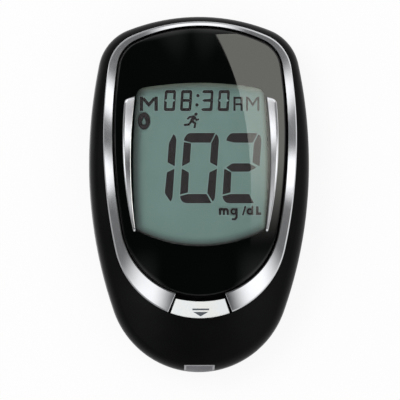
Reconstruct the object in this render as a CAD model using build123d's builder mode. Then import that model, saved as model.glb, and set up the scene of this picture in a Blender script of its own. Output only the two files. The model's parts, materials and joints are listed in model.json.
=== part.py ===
from build123d import *
import os
from collections import namedtuple
from math import atan2, cos, degrees, hypot, radians, sin, sqrt

os.makedirs("parts", exist_ok=True)

# A palm-size blood glucose meter that lies on its back: X across, +Y to the top of the display,
# +Z out of the display. The origin is the middle of the box, on the surface it lies on.
# Sizes are in millimetres.

# ---- case ----
case_length = 87.4
case_width = 54.0
case_thickness = 17.5  # back to the crown of the lens
wall = 1.8
front_roll = 3.8  # radius of the front's rolled rim
back_roll = 3.2
parting_gap = 0.1  # fine groove between the two covers
crown_y = 5.0  # where the front is highest
lens_across = 110.0  # radii of the lens's double curve
lens_along = 260.0
body_across = 55.0  # radii of the case front's double curve
body_along = 130.0
body_rise = 2.3  # how far the case front's curve would crown above the lens's
slip = 0.12  # gap round pieces that drop in or slide
bond = 0.02  # gap between pieces that are bonded or pressed together
root = 0.3  # how far a rib or leg runs into the wall that it grows from

# ---- plan outlines: an egg is a chain of five arcs a side, each tangent to the next ----
Egg = namedtuple("Egg", "top bottom half_width widest_y crown corner upper lower")
case_egg = Egg(case_length / 2, -case_length / 2, case_width / 2, 7.5, 48.5, 11.3, 122.6, 111.0)
ring_egg = Egg(42.4, -30.2, 23.75, 14.0, 42.1, 10.0, 119.0, 129.6)
lens_egg = Egg(41.15, -25.0, 21.4, 15.2, 37.0, 8.0, 112.2, 135.4)

# ---- lens and bezel ----
lens_thickness = 1.6
lens_edge_round = 0.6
mask_thickness = 0.08
mask_margin = 0.3  # bare edge of the lens outside the print
gasket_thickness = 0.1
gasket_margin = 0.2
ring_stand = 0.35  # how far the bezel stands out of the case
ring_split = 21.7  # half of the angle that the bezel leaves open for the button
accent_thickness = 0.45  # of the trim bonded on the lens

# ---- window ----
window_half_width = 16.55
window_top = 27.35
window_bottom = -12.04
window_middle_y = 7.0
window_side_radius = 170.0
window_top_radius = 82.0
window_bottom_radius = 34.0
window_top_corner = 2.2
window_bottom_corner = 1.2

# ---- accents: crescents between two arcs ----
accent_inner_x = 17.26
accent_inner_y = 8.3
accent_inner_radius = 123.0
accent_outer_x = 19.2
accent_outer_y = 13.5
accent_outer_radius = 97.0
accent_top = 24.4
accent_slant = 2.8  # fall of the top end from the inner to the outer side
accent_foot = -9.0
accent_round = 0.35

# ---- release button ----
button_split = 19.9  # half of the angle that the button fills
button_inner = 17.25  # its upper edge, from the middle of the bezel's lower arc
button_thickness = 1.2
button_travel = 1.2
well_inner = 16.4  # the well's upper edge, from the same middle
well_clear = 0.15  # between the pressed button and the well's floor
stem_radius = 0.9
stem_gap = 0.08
stem_clear = 0.15  # from the stem's round tip to the lever
spring_wire = 0.12  # radius
spring_radius = 1.45
spring_turns = 3.0
spring_length = 2.5
cup_floor = 0.6  # under the spring
pad_half = 1.6  # half width of the button's pad that the spring pushes on
leg_x = 4.3
leg_width = 1.2
leg_depth = 1.5
leg_length = 0.8  # below the deck
leg_gap = 0.1
barb = 0.35

# ---- display ----
glass_side_border = 0.6  # display glass beyond the window
glass_top_border = 1.35
glass_bottom_border = 1.0
glass_corner_cut = 3.5  # both lower corners are cut off to stay inside the lens
front_glass_thickness = 0.7
rear_glass_thickness = 0.7
glass_step = 3.0  # how much shorter the rear glass is at each end
reflector_thickness = 0.15
holder_drop = 4.6  # from the lens's crown to the holder's rim
holder_lip = 0.2  # rim above the glass
holder_wall = 0.8
holder_shelf = 1.0
holder_seat = 2.0  # shelf width under the glass
zebra_thickness = 1.6
zebra_inset = 0.65  # from the end of the front glass
zebra_half_length = 13.5

# ---- cells and boards ----
cell_radius = 10.0
cell_thickness = 3.2
cap_radius = 8.8
can_height = 2.75
cells_y = 12.0  # middle of the pair
cell_pitch = 20.8
bay_gap = 0.3
bay_wall = 1.0
bay_neck = 8.0
leaf_space = 0.65  # between the cells and the board
leaf_thickness = 0.15
leaf_width = 4.0
board_thickness = 1.0
board_inset = 3.2
board_gap = 0.2

# ---- battery door ----
door_width = 24.0
door_margin = 2.3  # beyond the cells' bay at each end
door_thickness = 1.1
door_gap = 0.15
door_top_corner = 3.0
door_low_corner = 0.4
contact_thickness = 0.2
contact_width = 5.0
contact_bump = 0.15
contact_bump_radius = 1.2
hook_x = 7.0
hook_width = 3.0
hook_reach = 1.0
hook_thickness = 0.65
hook_gap = 0.15
latch_half_width = 4.6
latch_slot = 0.7
latch_length = 6.0
rib_count = 4
rib_pitch = 1.3
rib_width = 0.6
rib_depth = 0.3
rib_margin = 1.0
rib_first = 1.2  # first grip groove, from the door's end
scoop_radius = 5.0  # finger scoop beside the latch
scoop_reach = 3.0
scoop_depth = 0.8

# ---- strip port and ejector ----
port_width = 7.5
port_depth = 1.9  # how far the insert shows back from the tip of the nose
port_tongue = 1.8  # its tongue behind the wall
lower_jaw = 2.55
upper_tongue = 1.2
slot_height = 0.9
connector_base = 0.85
connector_rail = 1.4
connector_bridge = 0.95
connector_clear = 0.6  # to the insert's tongue
connector_tail = 2.9  # behind the slide at rest
slide_thickness = 0.8
slide_gap = 0.05
slide_front = 2.2  # from the pivot
slide_back = 1.8
slide_travel = 1.15
lever_arm = 2.3  # pivot to stem, along Y
lever_drop = 2.3  # pivot to the middle of the tip
lever_reach = 3.2
lever_half_width = 1.4
lever_thickness = 1.4
lever_web = 0.6
lever_tip_radius = 0.4
lever_gap = 0.1
hub_radius = 1.2
hub_half_length = 2.3
pivot_radius = 0.6
pivot_gap = 0.05
cheek_thickness = 1.1
cheek_margin = 1.0
finger_count = 5
finger_pitch = 1.4
finger_width = 0.7
finger_thickness = 0.15
finger_length = 2.7
finger_rise = 0.2  # of the bump into the slot

# ---- keys in the top end ----
key_pitch = 10.6
key_width = 7.4
key_height = 3.2
key_travel = 0.4
key_flange = 0.8
key_lap = 0.6
key_stem_width = 2.4
key_stem_height = 1.0
switch_width = 4.5
switch_depth = 3.2
switch_height = 1.8
switch_setback = 5.1  # its front, from the tip of the top end
plunger_width = 2.0
plunger_height = 0.9
plunger_out = 0.55
plunger_in = 0.8
plunger_gap = 0.05

# ---- screws ----
case_screw_radius = 1.0
case_screw_length = 8.9
case_head_radius = 1.8
case_head_height = 1.1
case_head_depth = 1.7  # of the recess that the head sits in
boss_radius = 2.4
upper_screw = (17.5, 33.0)
lower_screw = (16.0, -25.0)
board_screw_radius = 0.7
board_screw_length = 3.6
board_head_radius = 1.4
board_head_height = 0.8
post_radius = 1.8
side_screw_x = 20.6
side_screw_y = 8.0
foot_screw_y = -19.0
cross_width = 0.45
cross_depth = 0.5

# ---- label ----
label_width = 22.0
label_length = 16.0
label_gap_to_door = 4.5
label_thickness = 0.15
label_recess = 0.2

# ---- components on the board ----
chip_spot = (1.0, 6.0)
radio_spot = (-8.0, -20.5)
antenna_spot = (9.0, -18.5)
buzzer_spot = (-9.5, 17.0)
crystal_spot = (9.5, 9.0)
chip_size = 7.0
chip_height = 1.2
chip_leads = 8
lead_width = 0.3
lead_reach = 0.9
radio_length = 9.0
radio_depth = 7.0
radio_height = 1.8
antenna_length = 7.0
antenna_width = 2.0
antenna_height = 1.0
buzzer_radius = 4.5
buzzer_height = 2.4
buzzer_hole = 0.7
crystal_length = 5.0
crystal_width = 2.2
crystal_height = 1.2
passive_length = 1.0
passive_width = 0.5
passive_y = -2.0
passive_pitch = (2.2, 1.6)

# ---- worked out from the above ----
body_crown = case_thickness + body_rise
tall = body_crown + 1  # above everything
lens_back_crown = case_thickness - lens_thickness
mask_crown = lens_back_crown - bond
gasket_crown = mask_crown - mask_thickness - bond
deck_crown = gasket_crown - gasket_thickness - bond

contact_top = door_thickness + contact_thickness
cell_low = contact_top + contact_bump
cell_high = cell_low + cell_thickness
board_low = cell_high + leaf_space
board_top = board_low + board_thickness
slot_floor = board_top + connector_base
slot_ceiling = slot_floor + slot_height
parting_height = (slot_floor + slot_ceiling) / 2
slide_low = slot_floor + slide_gap
slide_middle = slide_low + slide_thickness / 2

holder_rim = case_thickness - holder_drop
glass_top = holder_rim - holder_lip
front_glass_low = glass_top - front_glass_thickness
rear_glass_low = front_glass_low - rear_glass_thickness
reflector_low = rear_glass_low - reflector_thickness
glass_half_width = window_half_width + glass_side_border
glass_y = (window_bottom - glass_bottom_border, window_top + glass_top_border)
rear_glass_y = (glass_y[0] + glass_step, glass_y[1] - glass_step)
holder_grow = slip + holder_wall
zebra_shift = zebra_inset + zebra_thickness / 2
zebra_spots = (glass_y[0] + zebra_shift, glass_y[1] - zebra_shift)

bay_radius = cell_radius + bay_gap
cell_spots = [(0.0, cells_y - cell_pitch / 2), (0.0, cells_y + cell_pitch / 2)]
door_low_y = cells_y - cell_pitch / 2 - bay_radius - door_margin
door_high_y = cells_y + cell_pitch / 2 + bay_radius + door_margin
door_axis_y = door_low_y + door_thickness / 2
door_axis_z = door_thickness / 2
floor_under_door = door_thickness + 0.05

plunger_z = board_top + switch_height / 2
key_z = (plunger_z - key_height / 2, plunger_z + key_height / 2)
switch_front_y = case_egg.top - switch_setback
key_spots = [-key_pitch, 0.0, key_pitch]

case_screw_spots = [(side * x, y) for x, y in [upper_screw, lower_screw] for side in (1, -1)]
board_screw_spots = [(side_screw_x, side_screw_y), (-side_screw_x, side_screw_y), (0.0, foot_screw_y)]
label_y = door_low_y - label_gap_to_door - label_length / 2
label_spot = (0.0, label_y)


def egg_arcs(egg, inset=0.0):
    # centre, radius, start and sweep of each arc from the crown to the foot, on the +X side
    crown_centre = (0.0, egg.top - egg.crown)
    upper_centre = (egg.half_width - egg.upper, egg.widest_y)
    lower_centre = (egg.half_width - egg.lower, egg.widest_y)
    # the corner arc touches both its neighbours from inside
    to_crown = egg.crown - egg.corner
    to_upper = egg.upper - egg.corner
    dx = upper_centre[0] - crown_centre[0]
    dy = upper_centre[1] - crown_centre[1]
    apart = hypot(dx, dy)
    along = (to_crown**2 - to_upper**2 + apart**2) / (2 * apart)
    aside = sqrt(to_crown**2 - along**2)
    corner_centre = (
        crown_centre[0] + (dx * along + dy * aside) / apart,
        crown_centre[1] + (dy * along - dx * aside) / apart,
    )
    # the foot arc touches the lower side arc from inside and ends on the middle line
    fall = egg.widest_y - egg.bottom
    foot = (egg.lower**2 - lower_centre[0] ** 2 - fall**2) / (2 * (egg.lower - fall))
    foot_centre = (0.0, egg.bottom + foot)
    crown_end = degrees(atan2(corner_centre[1] - crown_centre[1], corner_centre[0] - crown_centre[0]))
    corner_end = degrees(atan2(corner_centre[1] - upper_centre[1], corner_centre[0] - upper_centre[0]))
    lower_end = degrees(atan2(foot_centre[1] - lower_centre[1], foot_centre[0] - lower_centre[0]))
    return [
        (crown_centre, egg.crown - inset, 90.0, crown_end - 90.0),
        (corner_centre, egg.corner - inset, crown_end, corner_end - crown_end),
        (upper_centre, egg.upper - inset, corner_end, -corner_end),
        (lower_centre, egg.lower - inset, 0.0, lower_end),
        (foot_centre, foot - inset, lower_end, -90.0 - lower_end),
    ]


def egg_face(egg, inset=0.0):
    with BuildSketch() as face:
        with BuildLine():
            for centre, radius, start, sweep in egg_arcs(egg, inset):
                CenterArc(centre, radius, start, sweep)
            mirror(about=Plane.YZ)
        make_face()
    return face.sketch


def window_face(grow=0.0):
    # four shallow arcs with rounded corners
    with BuildSketch() as face:
        with Locations((0, window_top + grow - window_top_radius)):
            Circle(window_top_radius)
        with Locations((0, window_bottom - grow + window_bottom_radius)):
            Circle(window_bottom_radius, mode=Mode.INTERSECT)
        for side in (1, -1):
            with Locations((side * (window_half_width + grow - window_side_radius), window_middle_y)):
                Circle(window_side_radius, mode=Mode.INTERSECT)
        fillet(face.vertices().group_by(Axis.Y)[-1], window_top_corner)
        fillet(face.vertices().group_by(Axis.Y)[0], window_bottom_corner)
    return face.sketch


def accent_face(side):
    # the crescent on one side, with a slanted top and a blunt foot
    inner = side * (accent_inner_x - 2)
    outer = side * (accent_outer_x + 1)
    with BuildSketch() as face:
        with Locations((side * (accent_outer_x - accent_outer_radius), accent_outer_y)):
            Circle(accent_outer_radius)
        with Locations((side * (accent_inner_x - accent_inner_radius), accent_inner_y)):
            Circle(accent_inner_radius, mode=Mode.SUBTRACT)
        with BuildLine():
            Polyline(
                (inner, accent_foot),
                (inner, accent_top),
                (outer, accent_top - accent_slant),
                (outer, accent_foot),
                close=True,
            )
        make_face(mode=Mode.INTERSECT)
        fillet(face.vertices().sort_by(Axis.Y)[-2:], accent_round)
    return face.sketch


def wedge_face(half_angle):
    # a slice that opens downwards from the middle of the bezel's lower arc
    reach = case_width
    with BuildSketch() as face:
        with BuildLine():
            Polyline(
                foot_centre,
                (reach * sin(radians(half_angle)), foot_centre[1] - reach * cos(radians(half_angle))),
                (-reach * sin(radians(half_angle)), foot_centre[1] - reach * cos(radians(half_angle))),
                close=True,
            )
        make_face()
    return face.sketch


def well_face(split, inner, egg_inset):
    # the part of the bezel's lower arc that the button takes
    with BuildSketch() as face:
        add(egg_face(ring_egg, egg_inset))
        add(wedge_face(split), mode=Mode.INTERSECT)
        with Locations(foot_centre):
            Circle(inner, mode=Mode.SUBTRACT)
    return face.sketch


def glass_face(grow):
    # the display glass's outline, with its lower corners cut off
    with BuildSketch() as face:
        with Locations((0, (glass_y[0] + glass_y[1]) / 2)):
            Rectangle(2 * (glass_half_width + grow), glass_y[1] - glass_y[0] + 2 * grow)
        chamfer(face.vertices().group_by(Axis.Y)[0], glass_corner_cut + (2 - sqrt(2)) * grow)
    return face.sketch


def bay_face(grow):
    # two round pockets joined by a neck
    with BuildSketch() as face:
        with Locations(*cell_spots):
            Circle(bay_radius + grow)
        with Locations((0, cells_y)):
            Rectangle(bay_neck + 2 * grow, cell_pitch)
    return face.sketch


def door_face(grow):
    with BuildSketch() as face:
        with Locations((0, (door_low_y + door_high_y) / 2)):
            Rectangle(door_width + 2 * grow, door_high_y - door_low_y + 2 * grow)
        fillet(face.vertices().group_by(Axis.Y)[-1], door_top_corner + grow)
        fillet(face.vertices().group_by(Axis.Y)[0], door_low_corner + grow)
    return face.sketch


def column(face, low, high):
    with BuildPart() as prism:
        with BuildSketch(Plane.XY.offset(low)):
            add(face)
        extrude(amount=high - low)
    return prism.part


def block(x, y, z):
    with BuildPart() as cuboid:
        with Locations(((x[0] + x[1]) / 2, (y[0] + y[1]) / 2, (z[0] + z[1]) / 2)):
            Box(x[1] - x[0], y[1] - y[0], z[1] - z[0])
    return cuboid.part


def rods(spots, radius, low, high):
    with BuildPart() as group:
        with BuildSketch(Plane.XY.offset(low)):
            with Locations(*spots):
                Circle(radius)
        extrude(amount=high - low)
    return group.part


def across_rod(radius, half_length):
    # a round bar along the lever's pivot
    with BuildPart() as bar:
        with BuildSketch(Plane.YZ):
            with Locations((pivot_y, pivot_z)):
                Circle(radius)
        extrude(amount=half_length, both=True)
    return bar.part


def shaped(base, keep=(), cut=()):
    # the base, where it lies in each solid of keep and in none of cut
    with BuildPart() as result:
        add(base)
        for solid in keep:
            add(solid, mode=Mode.INTERSECT)
        for solid in cut:
            add(solid, mode=Mode.SUBTRACT)
    return result.part


def sides(low, high):
    # the same span on the +X side and on the -X side
    return [(low, high), (-high, -low)]


def dome(crown, across, along):
    # all that lies under a surface arched both ways; its seam is turned to the far side
    axis_z = crown - along
    with BuildPart() as barrel:
        with BuildSketch(Plane.XZ.offset(-crown_y)):
            with Locations((0, axis_z - along + across)):
                Circle(across)
            with Locations((0, axis_z - along)):
                Rectangle(1.4 * case_width, 2.4 * tall, mode=Mode.INTERSECT)
        revolve(axis=Axis((0, crown_y, axis_z), (1, 0, 0)))
    return barrel.part


def under_lens(crown):
    drop = case_thickness - crown
    return dome(crown, lens_across - drop, lens_along - drop)


def arch_height(crown, top_crown, across, along, x, y):
    # height of such a surface above a point
    drop = top_crown - crown
    reach = along - across + sqrt((across - drop) ** 2 - x**2)
    return crown - along + drop + sqrt(reach**2 - (y - crown_y) ** 2)


def lens_height(crown, x, y):
    return arch_height(crown, case_thickness, lens_across, lens_along, x, y)


def body_height(inset, x, y):
    return arch_height(body_crown - inset, body_crown, body_across, body_along, x, y)


def under_body(inset):
    return dome(body_crown - inset, body_across - inset, body_along - inset)


def pebble(inset):
    # the whole meter's outer skin, moved inwards
    with BuildPart() as skin:
        with BuildSketch(Plane.XY.offset(inset)):
            add(egg_face(case_egg, inset))
        extrude(amount=body_crown)
        add(under_body(inset), mode=Mode.INTERSECT)
        fillet(skin.faces().sort_by(Axis.Z)[-1].edges(), front_roll - inset)
        fillet(skin.faces().sort_by(Axis.Z)[0].edges(), back_roll - inset)
    return skin.part


def top_end_y(x, inset=0.0):
    # the crown arc's y at this x
    return case_egg.top - case_egg.crown + sqrt((case_egg.crown - inset) ** 2 - x**2)


def cross_recess(spots, low, high, reach):
    with BuildPart() as recess:
        with BuildSketch(Plane.XY.offset(low)):
            with Locations(*spots):
                Rectangle(cross_width, reach)
                Rectangle(reach, cross_width)
        extrude(amount=high - low)
    return recess.part


def save(piece, name):
    piece.part.label = name
    export_step(piece.part, f"parts/{name}.step")


# ---- shared solids and places ----
foot_centre, foot_radius = egg_arcs(ring_egg)[-1][:2]
stem_y = foot_centre[1] - (button_inner + foot_radius) / 2
pivot_y = stem_y - lever_arm
pivot_z = slide_middle + lever_drop
port_back_y = case_egg.bottom + port_depth
tongue_back_y = port_back_y + port_tongue
connector_front_y = tongue_back_y + connector_clear
slide_y = (pivot_y - slide_front, pivot_y + slide_back)
bridge_back_y = slide_y[0] - slide_travel - slide_gap
connector_back_y = slide_y[1] + connector_tail
connector_half_width = port_width / 2 + slide_gap + connector_rail
connector_top = slot_ceiling + slide_gap + connector_bridge
stem_foot = pivot_z + lever_thickness / 2 + stem_clear
button_back_at_stem = body_height(button_thickness - ring_stand, 0, stem_y)
spring_seat = button_back_at_stem - 0.2
spring_floor = spring_seat - spring_length
deck_low = spring_floor - cup_floor
corner_x = foot_radius * sin(radians(button_split))
corner_y = foot_centre[1] - foot_radius * cos(radians(button_split))
well_low = body_height(button_thickness - ring_stand, corner_x, corner_y) - button_travel - well_clear
cup_radius = spring_radius + spring_wire + slip
cheek_spans = sides(hub_half_length + lever_gap, hub_half_length + lever_gap + cheek_thickness)

case_face = egg_face(case_egg)
outer_skin = pebble(0.0)
inner_skin = pebble(wall)
mid_skin = pebble(wall / 2)
trim_skin = pebble(-ring_stand)
inside_wall = pebble(wall + 0.05)
under_deck = under_lens(deck_crown)
lens_blank = shaped(
    column(egg_face(lens_egg, slip), board_top, tall),
    [under_lens(case_thickness)],
    [under_lens(lens_back_crown)],
)

port_half = port_width / 2
port_cut = block(
    (-port_half - slide_gap, port_half + slide_gap),
    (case_egg.bottom - 1, port_back_y + slide_gap),
    (slot_floor - lower_jaw - slide_gap, tall),
)
key_cuts = [
    block(
        (x - key_width / 2 - slip, x + key_width / 2 + slip),
        (top_end_y(x) - 3 * wall, case_egg.top + 1),
        (key_z[0] - slip, key_z[1] + slip),
    )
    for x in key_spots
]

# ---- front cover: the shell with the deck that the lens lies on, screw bosses and the lever's cheeks ----
cheeks = [
    block(span, (pivot_y - hub_radius - 0.2, pivot_y + hub_radius), (pivot_z - cheek_margin, tall))
    for span in cheek_spans
]
below_parting = column(case_face, -1, parting_height + parting_gap / 2)
above_deck = column(case_face, deck_low, tall)
front_posts = rods(case_screw_spots, boss_radius, parting_height, tall)
cavity = shaped(inner_skin, cut=[below_parting, above_deck, front_posts, *cheeks])
pocket = shaped(column(egg_face(ring_egg, -slip), board_top, tall), cut=[under_deck])
button_well = column(well_face(ring_split, well_inner, -slip), well_low, tall)
holder_hole = column(glass_face(holder_grow + slip), board_top, tall)
leg_hole_y = (stem_y - leg_depth / 2 - leg_gap, stem_y + leg_depth / 2 + leg_gap)
leg_holes = [
    block(span, leg_hole_y, (deck_low - 1, tall))
    for span in sides(leg_x - leg_width / 2 - leg_gap, leg_x + leg_width / 2 + leg_gap)
]

with BuildPart() as front_cover:
    add(outer_skin)
    for solid in [below_parting, cavity, pocket, button_well, holder_hole, port_cut, *key_cuts, *leg_holes]:
        add(solid, mode=Mode.SUBTRACT)
    screw_hole_top = case_head_depth + case_screw_length + 0.4
    add(rods(case_screw_spots, case_screw_radius + bond, 0, screw_hole_top), mode=Mode.SUBTRACT)
    add(rods([(0, stem_y)], cup_radius, spring_floor, tall), mode=Mode.SUBTRACT)
    add(rods([(0, stem_y)], stem_radius + stem_gap, stem_foot, tall), mode=Mode.SUBTRACT)
    add(across_rod(pivot_radius + bond, case_width / 4), mode=Mode.SUBTRACT)
save(front_cover, "front_cover")

# ---- rear cover: tray, cell bay, door seat, bosses and posts ----
bay = column(bay_face(bay_wall), wall / 2, board_low - 0.3)
door_seat = column(door_face(door_gap), -1, floor_under_door)
hook_slots = [
    block(
        (x - hook_width / 2 - 0.2, x + hook_width / 2 + 0.2),
        (door_low_y - door_gap, door_axis_y + hook_reach + 2.5),
        (floor_under_door - 0.1, wall + 1.6),
    )
    for x in (hook_x, -hook_x)
]
scoop_y = (door_high_y - 1, door_high_y + scoop_reach)
scoop = shaped(
    rods([(0, door_high_y)], scoop_radius, -1, scoop_depth),
    [block((-scoop_radius, scoop_radius), scoop_y, (-1, scoop_depth))],
)

with BuildPart() as rear_cover:
    add(outer_skin)
    add(inner_skin, mode=Mode.SUBTRACT)
    add(column(case_face, parting_height - parting_gap / 2, tall), mode=Mode.SUBTRACT)
    add(shaped(bay, [mid_skin]))
    add(rods(case_screw_spots, boss_radius, wall / 2, parting_height))
    add(rods(board_screw_spots, post_radius, wall / 2, board_low))
    for solid in [door_seat, scoop, port_cut, *key_cuts, *hook_slots]:
        add(solid, mode=Mode.SUBTRACT)
    add(column(bay_face(0), -1, board_low), mode=Mode.SUBTRACT)
    with BuildSketch(Plane.XY.offset(-1)):
        with Locations(label_spot):
            RectangleRounded(label_width + 2 * slip, label_length + 2 * slip, 1.5)
    extrude(amount=1 + label_recess, mode=Mode.SUBTRACT)
    add(rods(case_screw_spots, case_head_radius + slip, -1, case_head_depth), mode=Mode.SUBTRACT)
    add(rods(case_screw_spots, case_screw_radius + slip, 0, tall), mode=Mode.SUBTRACT)
    post_hole_low = board_top - board_screw_length - 0.3
    add(rods(board_screw_spots, board_screw_radius + bond, post_hole_low, tall), mode=Mode.SUBTRACT)
save(rear_cover, "rear_cover")

# ---- lens, its print and its seal ----
with BuildPart() as display_lens:
    add(lens_blank)
    fillet(display_lens.faces().sort_by(Axis.Z)[-1].edges(), lens_edge_round)
save(display_lens, "display_lens")

with BuildPart() as lens_mask:
    add(column(egg_face(lens_egg, slip + mask_margin), board_top, tall))
    add(under_lens(mask_crown), mode=Mode.INTERSECT)
    add(under_lens(mask_crown - mask_thickness), mode=Mode.SUBTRACT)
    add(column(window_face(), 0, tall), mode=Mode.SUBTRACT)
save(lens_mask, "lens_mask")

with BuildPart() as lens_gasket:
    add(column(egg_face(lens_egg, slip + gasket_margin), board_top, tall))
    add(under_lens(gasket_crown), mode=Mode.INTERSECT)
    add(under_lens(gasket_crown - gasket_thickness), mode=Mode.SUBTRACT)
    add(holder_hole, mode=Mode.SUBTRACT)
save(lens_gasket, "lens_gasket")

for name, side in [("right_accent", 1), ("left_accent", -1)]:
    with BuildPart() as accent:
        add(column(accent_face(side), board_top, tall))
        add(under_lens(case_thickness + bond + accent_thickness), mode=Mode.INTERSECT)
        add(under_lens(case_thickness + bond), mode=Mode.SUBTRACT)
    save(accent, name)

# ---- bezel, open at the bottom for the button ----
with BuildPart() as bezel_ring:
    add(column(egg_face(ring_egg), board_top, tall))
    add(column(egg_face(lens_egg), board_top, tall), mode=Mode.SUBTRACT)
    add(trim_skin, mode=Mode.INTERSECT)
    add(under_lens(deck_crown + bond), mode=Mode.SUBTRACT)
    add(column(wedge_face(ring_split), 0, tall), mode=Mode.SUBTRACT)
save(bezel_ring, "bezel_ring")

# ---- release button with its stem and two snap legs ----
button_blank = column(well_face(button_split, button_inner, 0.0), board_top, tall)
leg_foot = deck_low - leg_gap
leg_y = (stem_y - leg_depth / 2, stem_y + leg_depth / 2)
legs = [
    block(span, leg_y, (leg_foot - leg_length, button_back_at_stem + root))
    for span in sides(leg_x - leg_width / 2, leg_x + leg_width / 2)
]
barb_z = (leg_foot - leg_length, leg_foot)
barbs = [block(span, leg_y, barb_z) for span in sides(leg_x, leg_x + leg_width / 2 + barb)]
with BuildPart() as release_button:
    add(shaped(button_blank, [under_body(-ring_stand)], [under_body(button_thickness - ring_stand)]))
    pad_y = (stem_y - pad_half, stem_y + pad_half)
    add(block((-pad_half, pad_half), pad_y, (spring_seat, button_back_at_stem + root)))
    add(rods([(0, stem_y)], stem_radius, stem_foot, spring_seat))
    fillet(release_button.edges().filter_by(GeomType.CIRCLE).sort_by(Axis.Z)[0], stem_radius - 0.02)
    for solid in [*legs, *barbs]:
        add(solid)
save(release_button, "release_button")

with BuildPart() as button_spring:
    coil_height = spring_length - 2 * spring_wire - 2 * bond
    with BuildLine() as coil:
        Helix(
            pitch=coil_height / spring_turns,
            height=coil_height,
            radius=spring_radius,
            center=(0, stem_y, spring_floor + spring_wire + bond),
        )
    with BuildSketch(Plane(origin=coil.line @ 0, z_dir=coil.line % 0)):
        Circle(spring_wire)
    sweep(is_frenet=True)
save(button_spring, "button_spring")

# ---- ejector: a bell-crank lever on a pin turns the button's press into a push along the slot ----
with BuildPart() as ejector_lever:
    with BuildSketch(Plane.YZ):
        with Locations((pivot_y + lever_reach / 2, pivot_z)):
            Rectangle(lever_reach, lever_thickness)
        with Locations((pivot_y, pivot_z - lever_drop / 2)):
            Rectangle(lever_web, lever_drop)
        with Locations((pivot_y, pivot_z - lever_drop)):
            Circle(lever_tip_radius)
    extrude(amount=lever_half_width, both=True)
    add(across_rod(hub_radius, hub_half_length))
    add(across_rod(pivot_radius + pivot_gap, hub_half_length + 1), mode=Mode.SUBTRACT)
save(ejector_lever, "ejector_lever")

with BuildPart() as lever_pin:
    add(across_rod(pivot_radius, hub_half_length + lever_gap + cheek_thickness))
save(lever_pin, "lever_pin")

with BuildPart() as ejector_slide:
    add(block((-port_half + 0.1, port_half - 0.1), slide_y, (slide_low, slide_low + slide_thickness)))
    tip_room = lever_tip_radius + 0.08
    window_x = (-lever_half_width - 0.15, lever_half_width + 0.15)
    add(block(window_x, (pivot_y - tip_room, pivot_y + tip_room), (0, tall)), mode=Mode.SUBTRACT)
save(ejector_slide, "ejector_slide")

# ---- strip port insert: two jaws with the slot between them ----
tongue_y = (port_back_y - 0.2, tongue_back_y)
jaw_x = (-port_half, port_half)
jaw_y = (case_egg.bottom - 1, port_back_y)

with BuildPart() as port_lower_jaw:
    add(shaped(block(jaw_x, jaw_y, (slot_floor - lower_jaw, slot_floor)), [outer_skin]))
    add(shaped(block(jaw_x, tongue_y, (slot_floor - lower_jaw, slot_floor)), [inside_wall]))
save(port_lower_jaw, "port_lower_jaw")

with BuildPart() as port_upper_jaw:
    add(shaped(block(jaw_x, jaw_y, (slot_ceiling, tall)), [outer_skin]))
    add(shaped(block(jaw_x, tongue_y, (slot_ceiling, slot_ceiling + upper_tongue)), [inside_wall]))
save(port_upper_jaw, "port_upper_jaw")

# ---- strip connector on the board and its sprung fingers ----
connector_y = (connector_front_y, connector_back_y)
finger_back_y = bridge_back_y - 0.4
finger_front_y = finger_back_y - finger_length
finger_spots = [(i - (finger_count - 1) / 2) * finger_pitch for i in range(finger_count)]

with BuildPart() as strip_connector:
    add(block((-connector_half_width, connector_half_width), connector_y, (board_top, slot_floor)))
    for span in sides(connector_half_width - connector_rail, connector_half_width):
        add(block(span, connector_y, (slot_floor, connector_top)))
    bridge_x = (-connector_half_width, connector_half_width)
    bridge_y = (connector_front_y, bridge_back_y)
    add(block(bridge_x, bridge_y, (slot_ceiling + slide_gap, connector_top)))
    for x in finger_spots:
        finger_room = (x - finger_width / 2 - 0.15, x + finger_width / 2 + 0.15)
        finger_well = block(finger_room, (finger_front_y - 0.25, finger_back_y + 0.2), (0, slot_floor + 0.01))
        add(finger_well, mode=Mode.SUBTRACT)
save(strip_connector, "strip_connector")

with BuildPart() as strip_contacts:
    for x in finger_spots:
        with BuildSketch(Plane.YZ.offset(x - finger_width / 2)):
            with BuildLine() as finger:
                Polyline(
                    (finger_back_y, board_top + finger_thickness / 2),
                    (finger_back_y - 0.8, board_top + finger_thickness / 2),
                    (finger_front_y + 0.7, slot_floor + finger_rise - finger_thickness / 2),
                    (finger_front_y + 0.1, slot_floor - finger_thickness),
                )
            trace(line_width=finger_thickness)
        extrude(amount=finger_width)
save(strip_contacts, "strip_contacts")

# ---- display: two glasses and a reflector in a holder, joined to the board by zebra strips ----
glass_x = (-glass_half_width, glass_half_width)
with BuildPart() as lcd_front_glass:
    add(column(glass_face(0), front_glass_low, glass_top))
save(lcd_front_glass, "lcd_front_glass")

with BuildPart() as lcd_rear_glass:
    add(column(glass_face(0), rear_glass_low, front_glass_low))
    add(block(glass_x, rear_glass_y, (rear_glass_low, front_glass_low)), mode=Mode.INTERSECT)
save(lcd_rear_glass, "lcd_rear_glass")

with BuildPart() as lcd_reflector:
    add(column(glass_face(0), reflector_low, rear_glass_low))
    add(block(glass_x, rear_glass_y, (reflector_low, rear_glass_low)), mode=Mode.INTERSECT)
save(lcd_reflector, "lcd_reflector")

with BuildPart() as zebra_connectors:
    for y in zebra_spots:
        zebra_y = (y - zebra_thickness / 2, y + zebra_thickness / 2)
        add(block((-zebra_half_length, zebra_half_length), zebra_y, (board_top, front_glass_low)))
save(zebra_connectors, "zebra_connectors")

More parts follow.
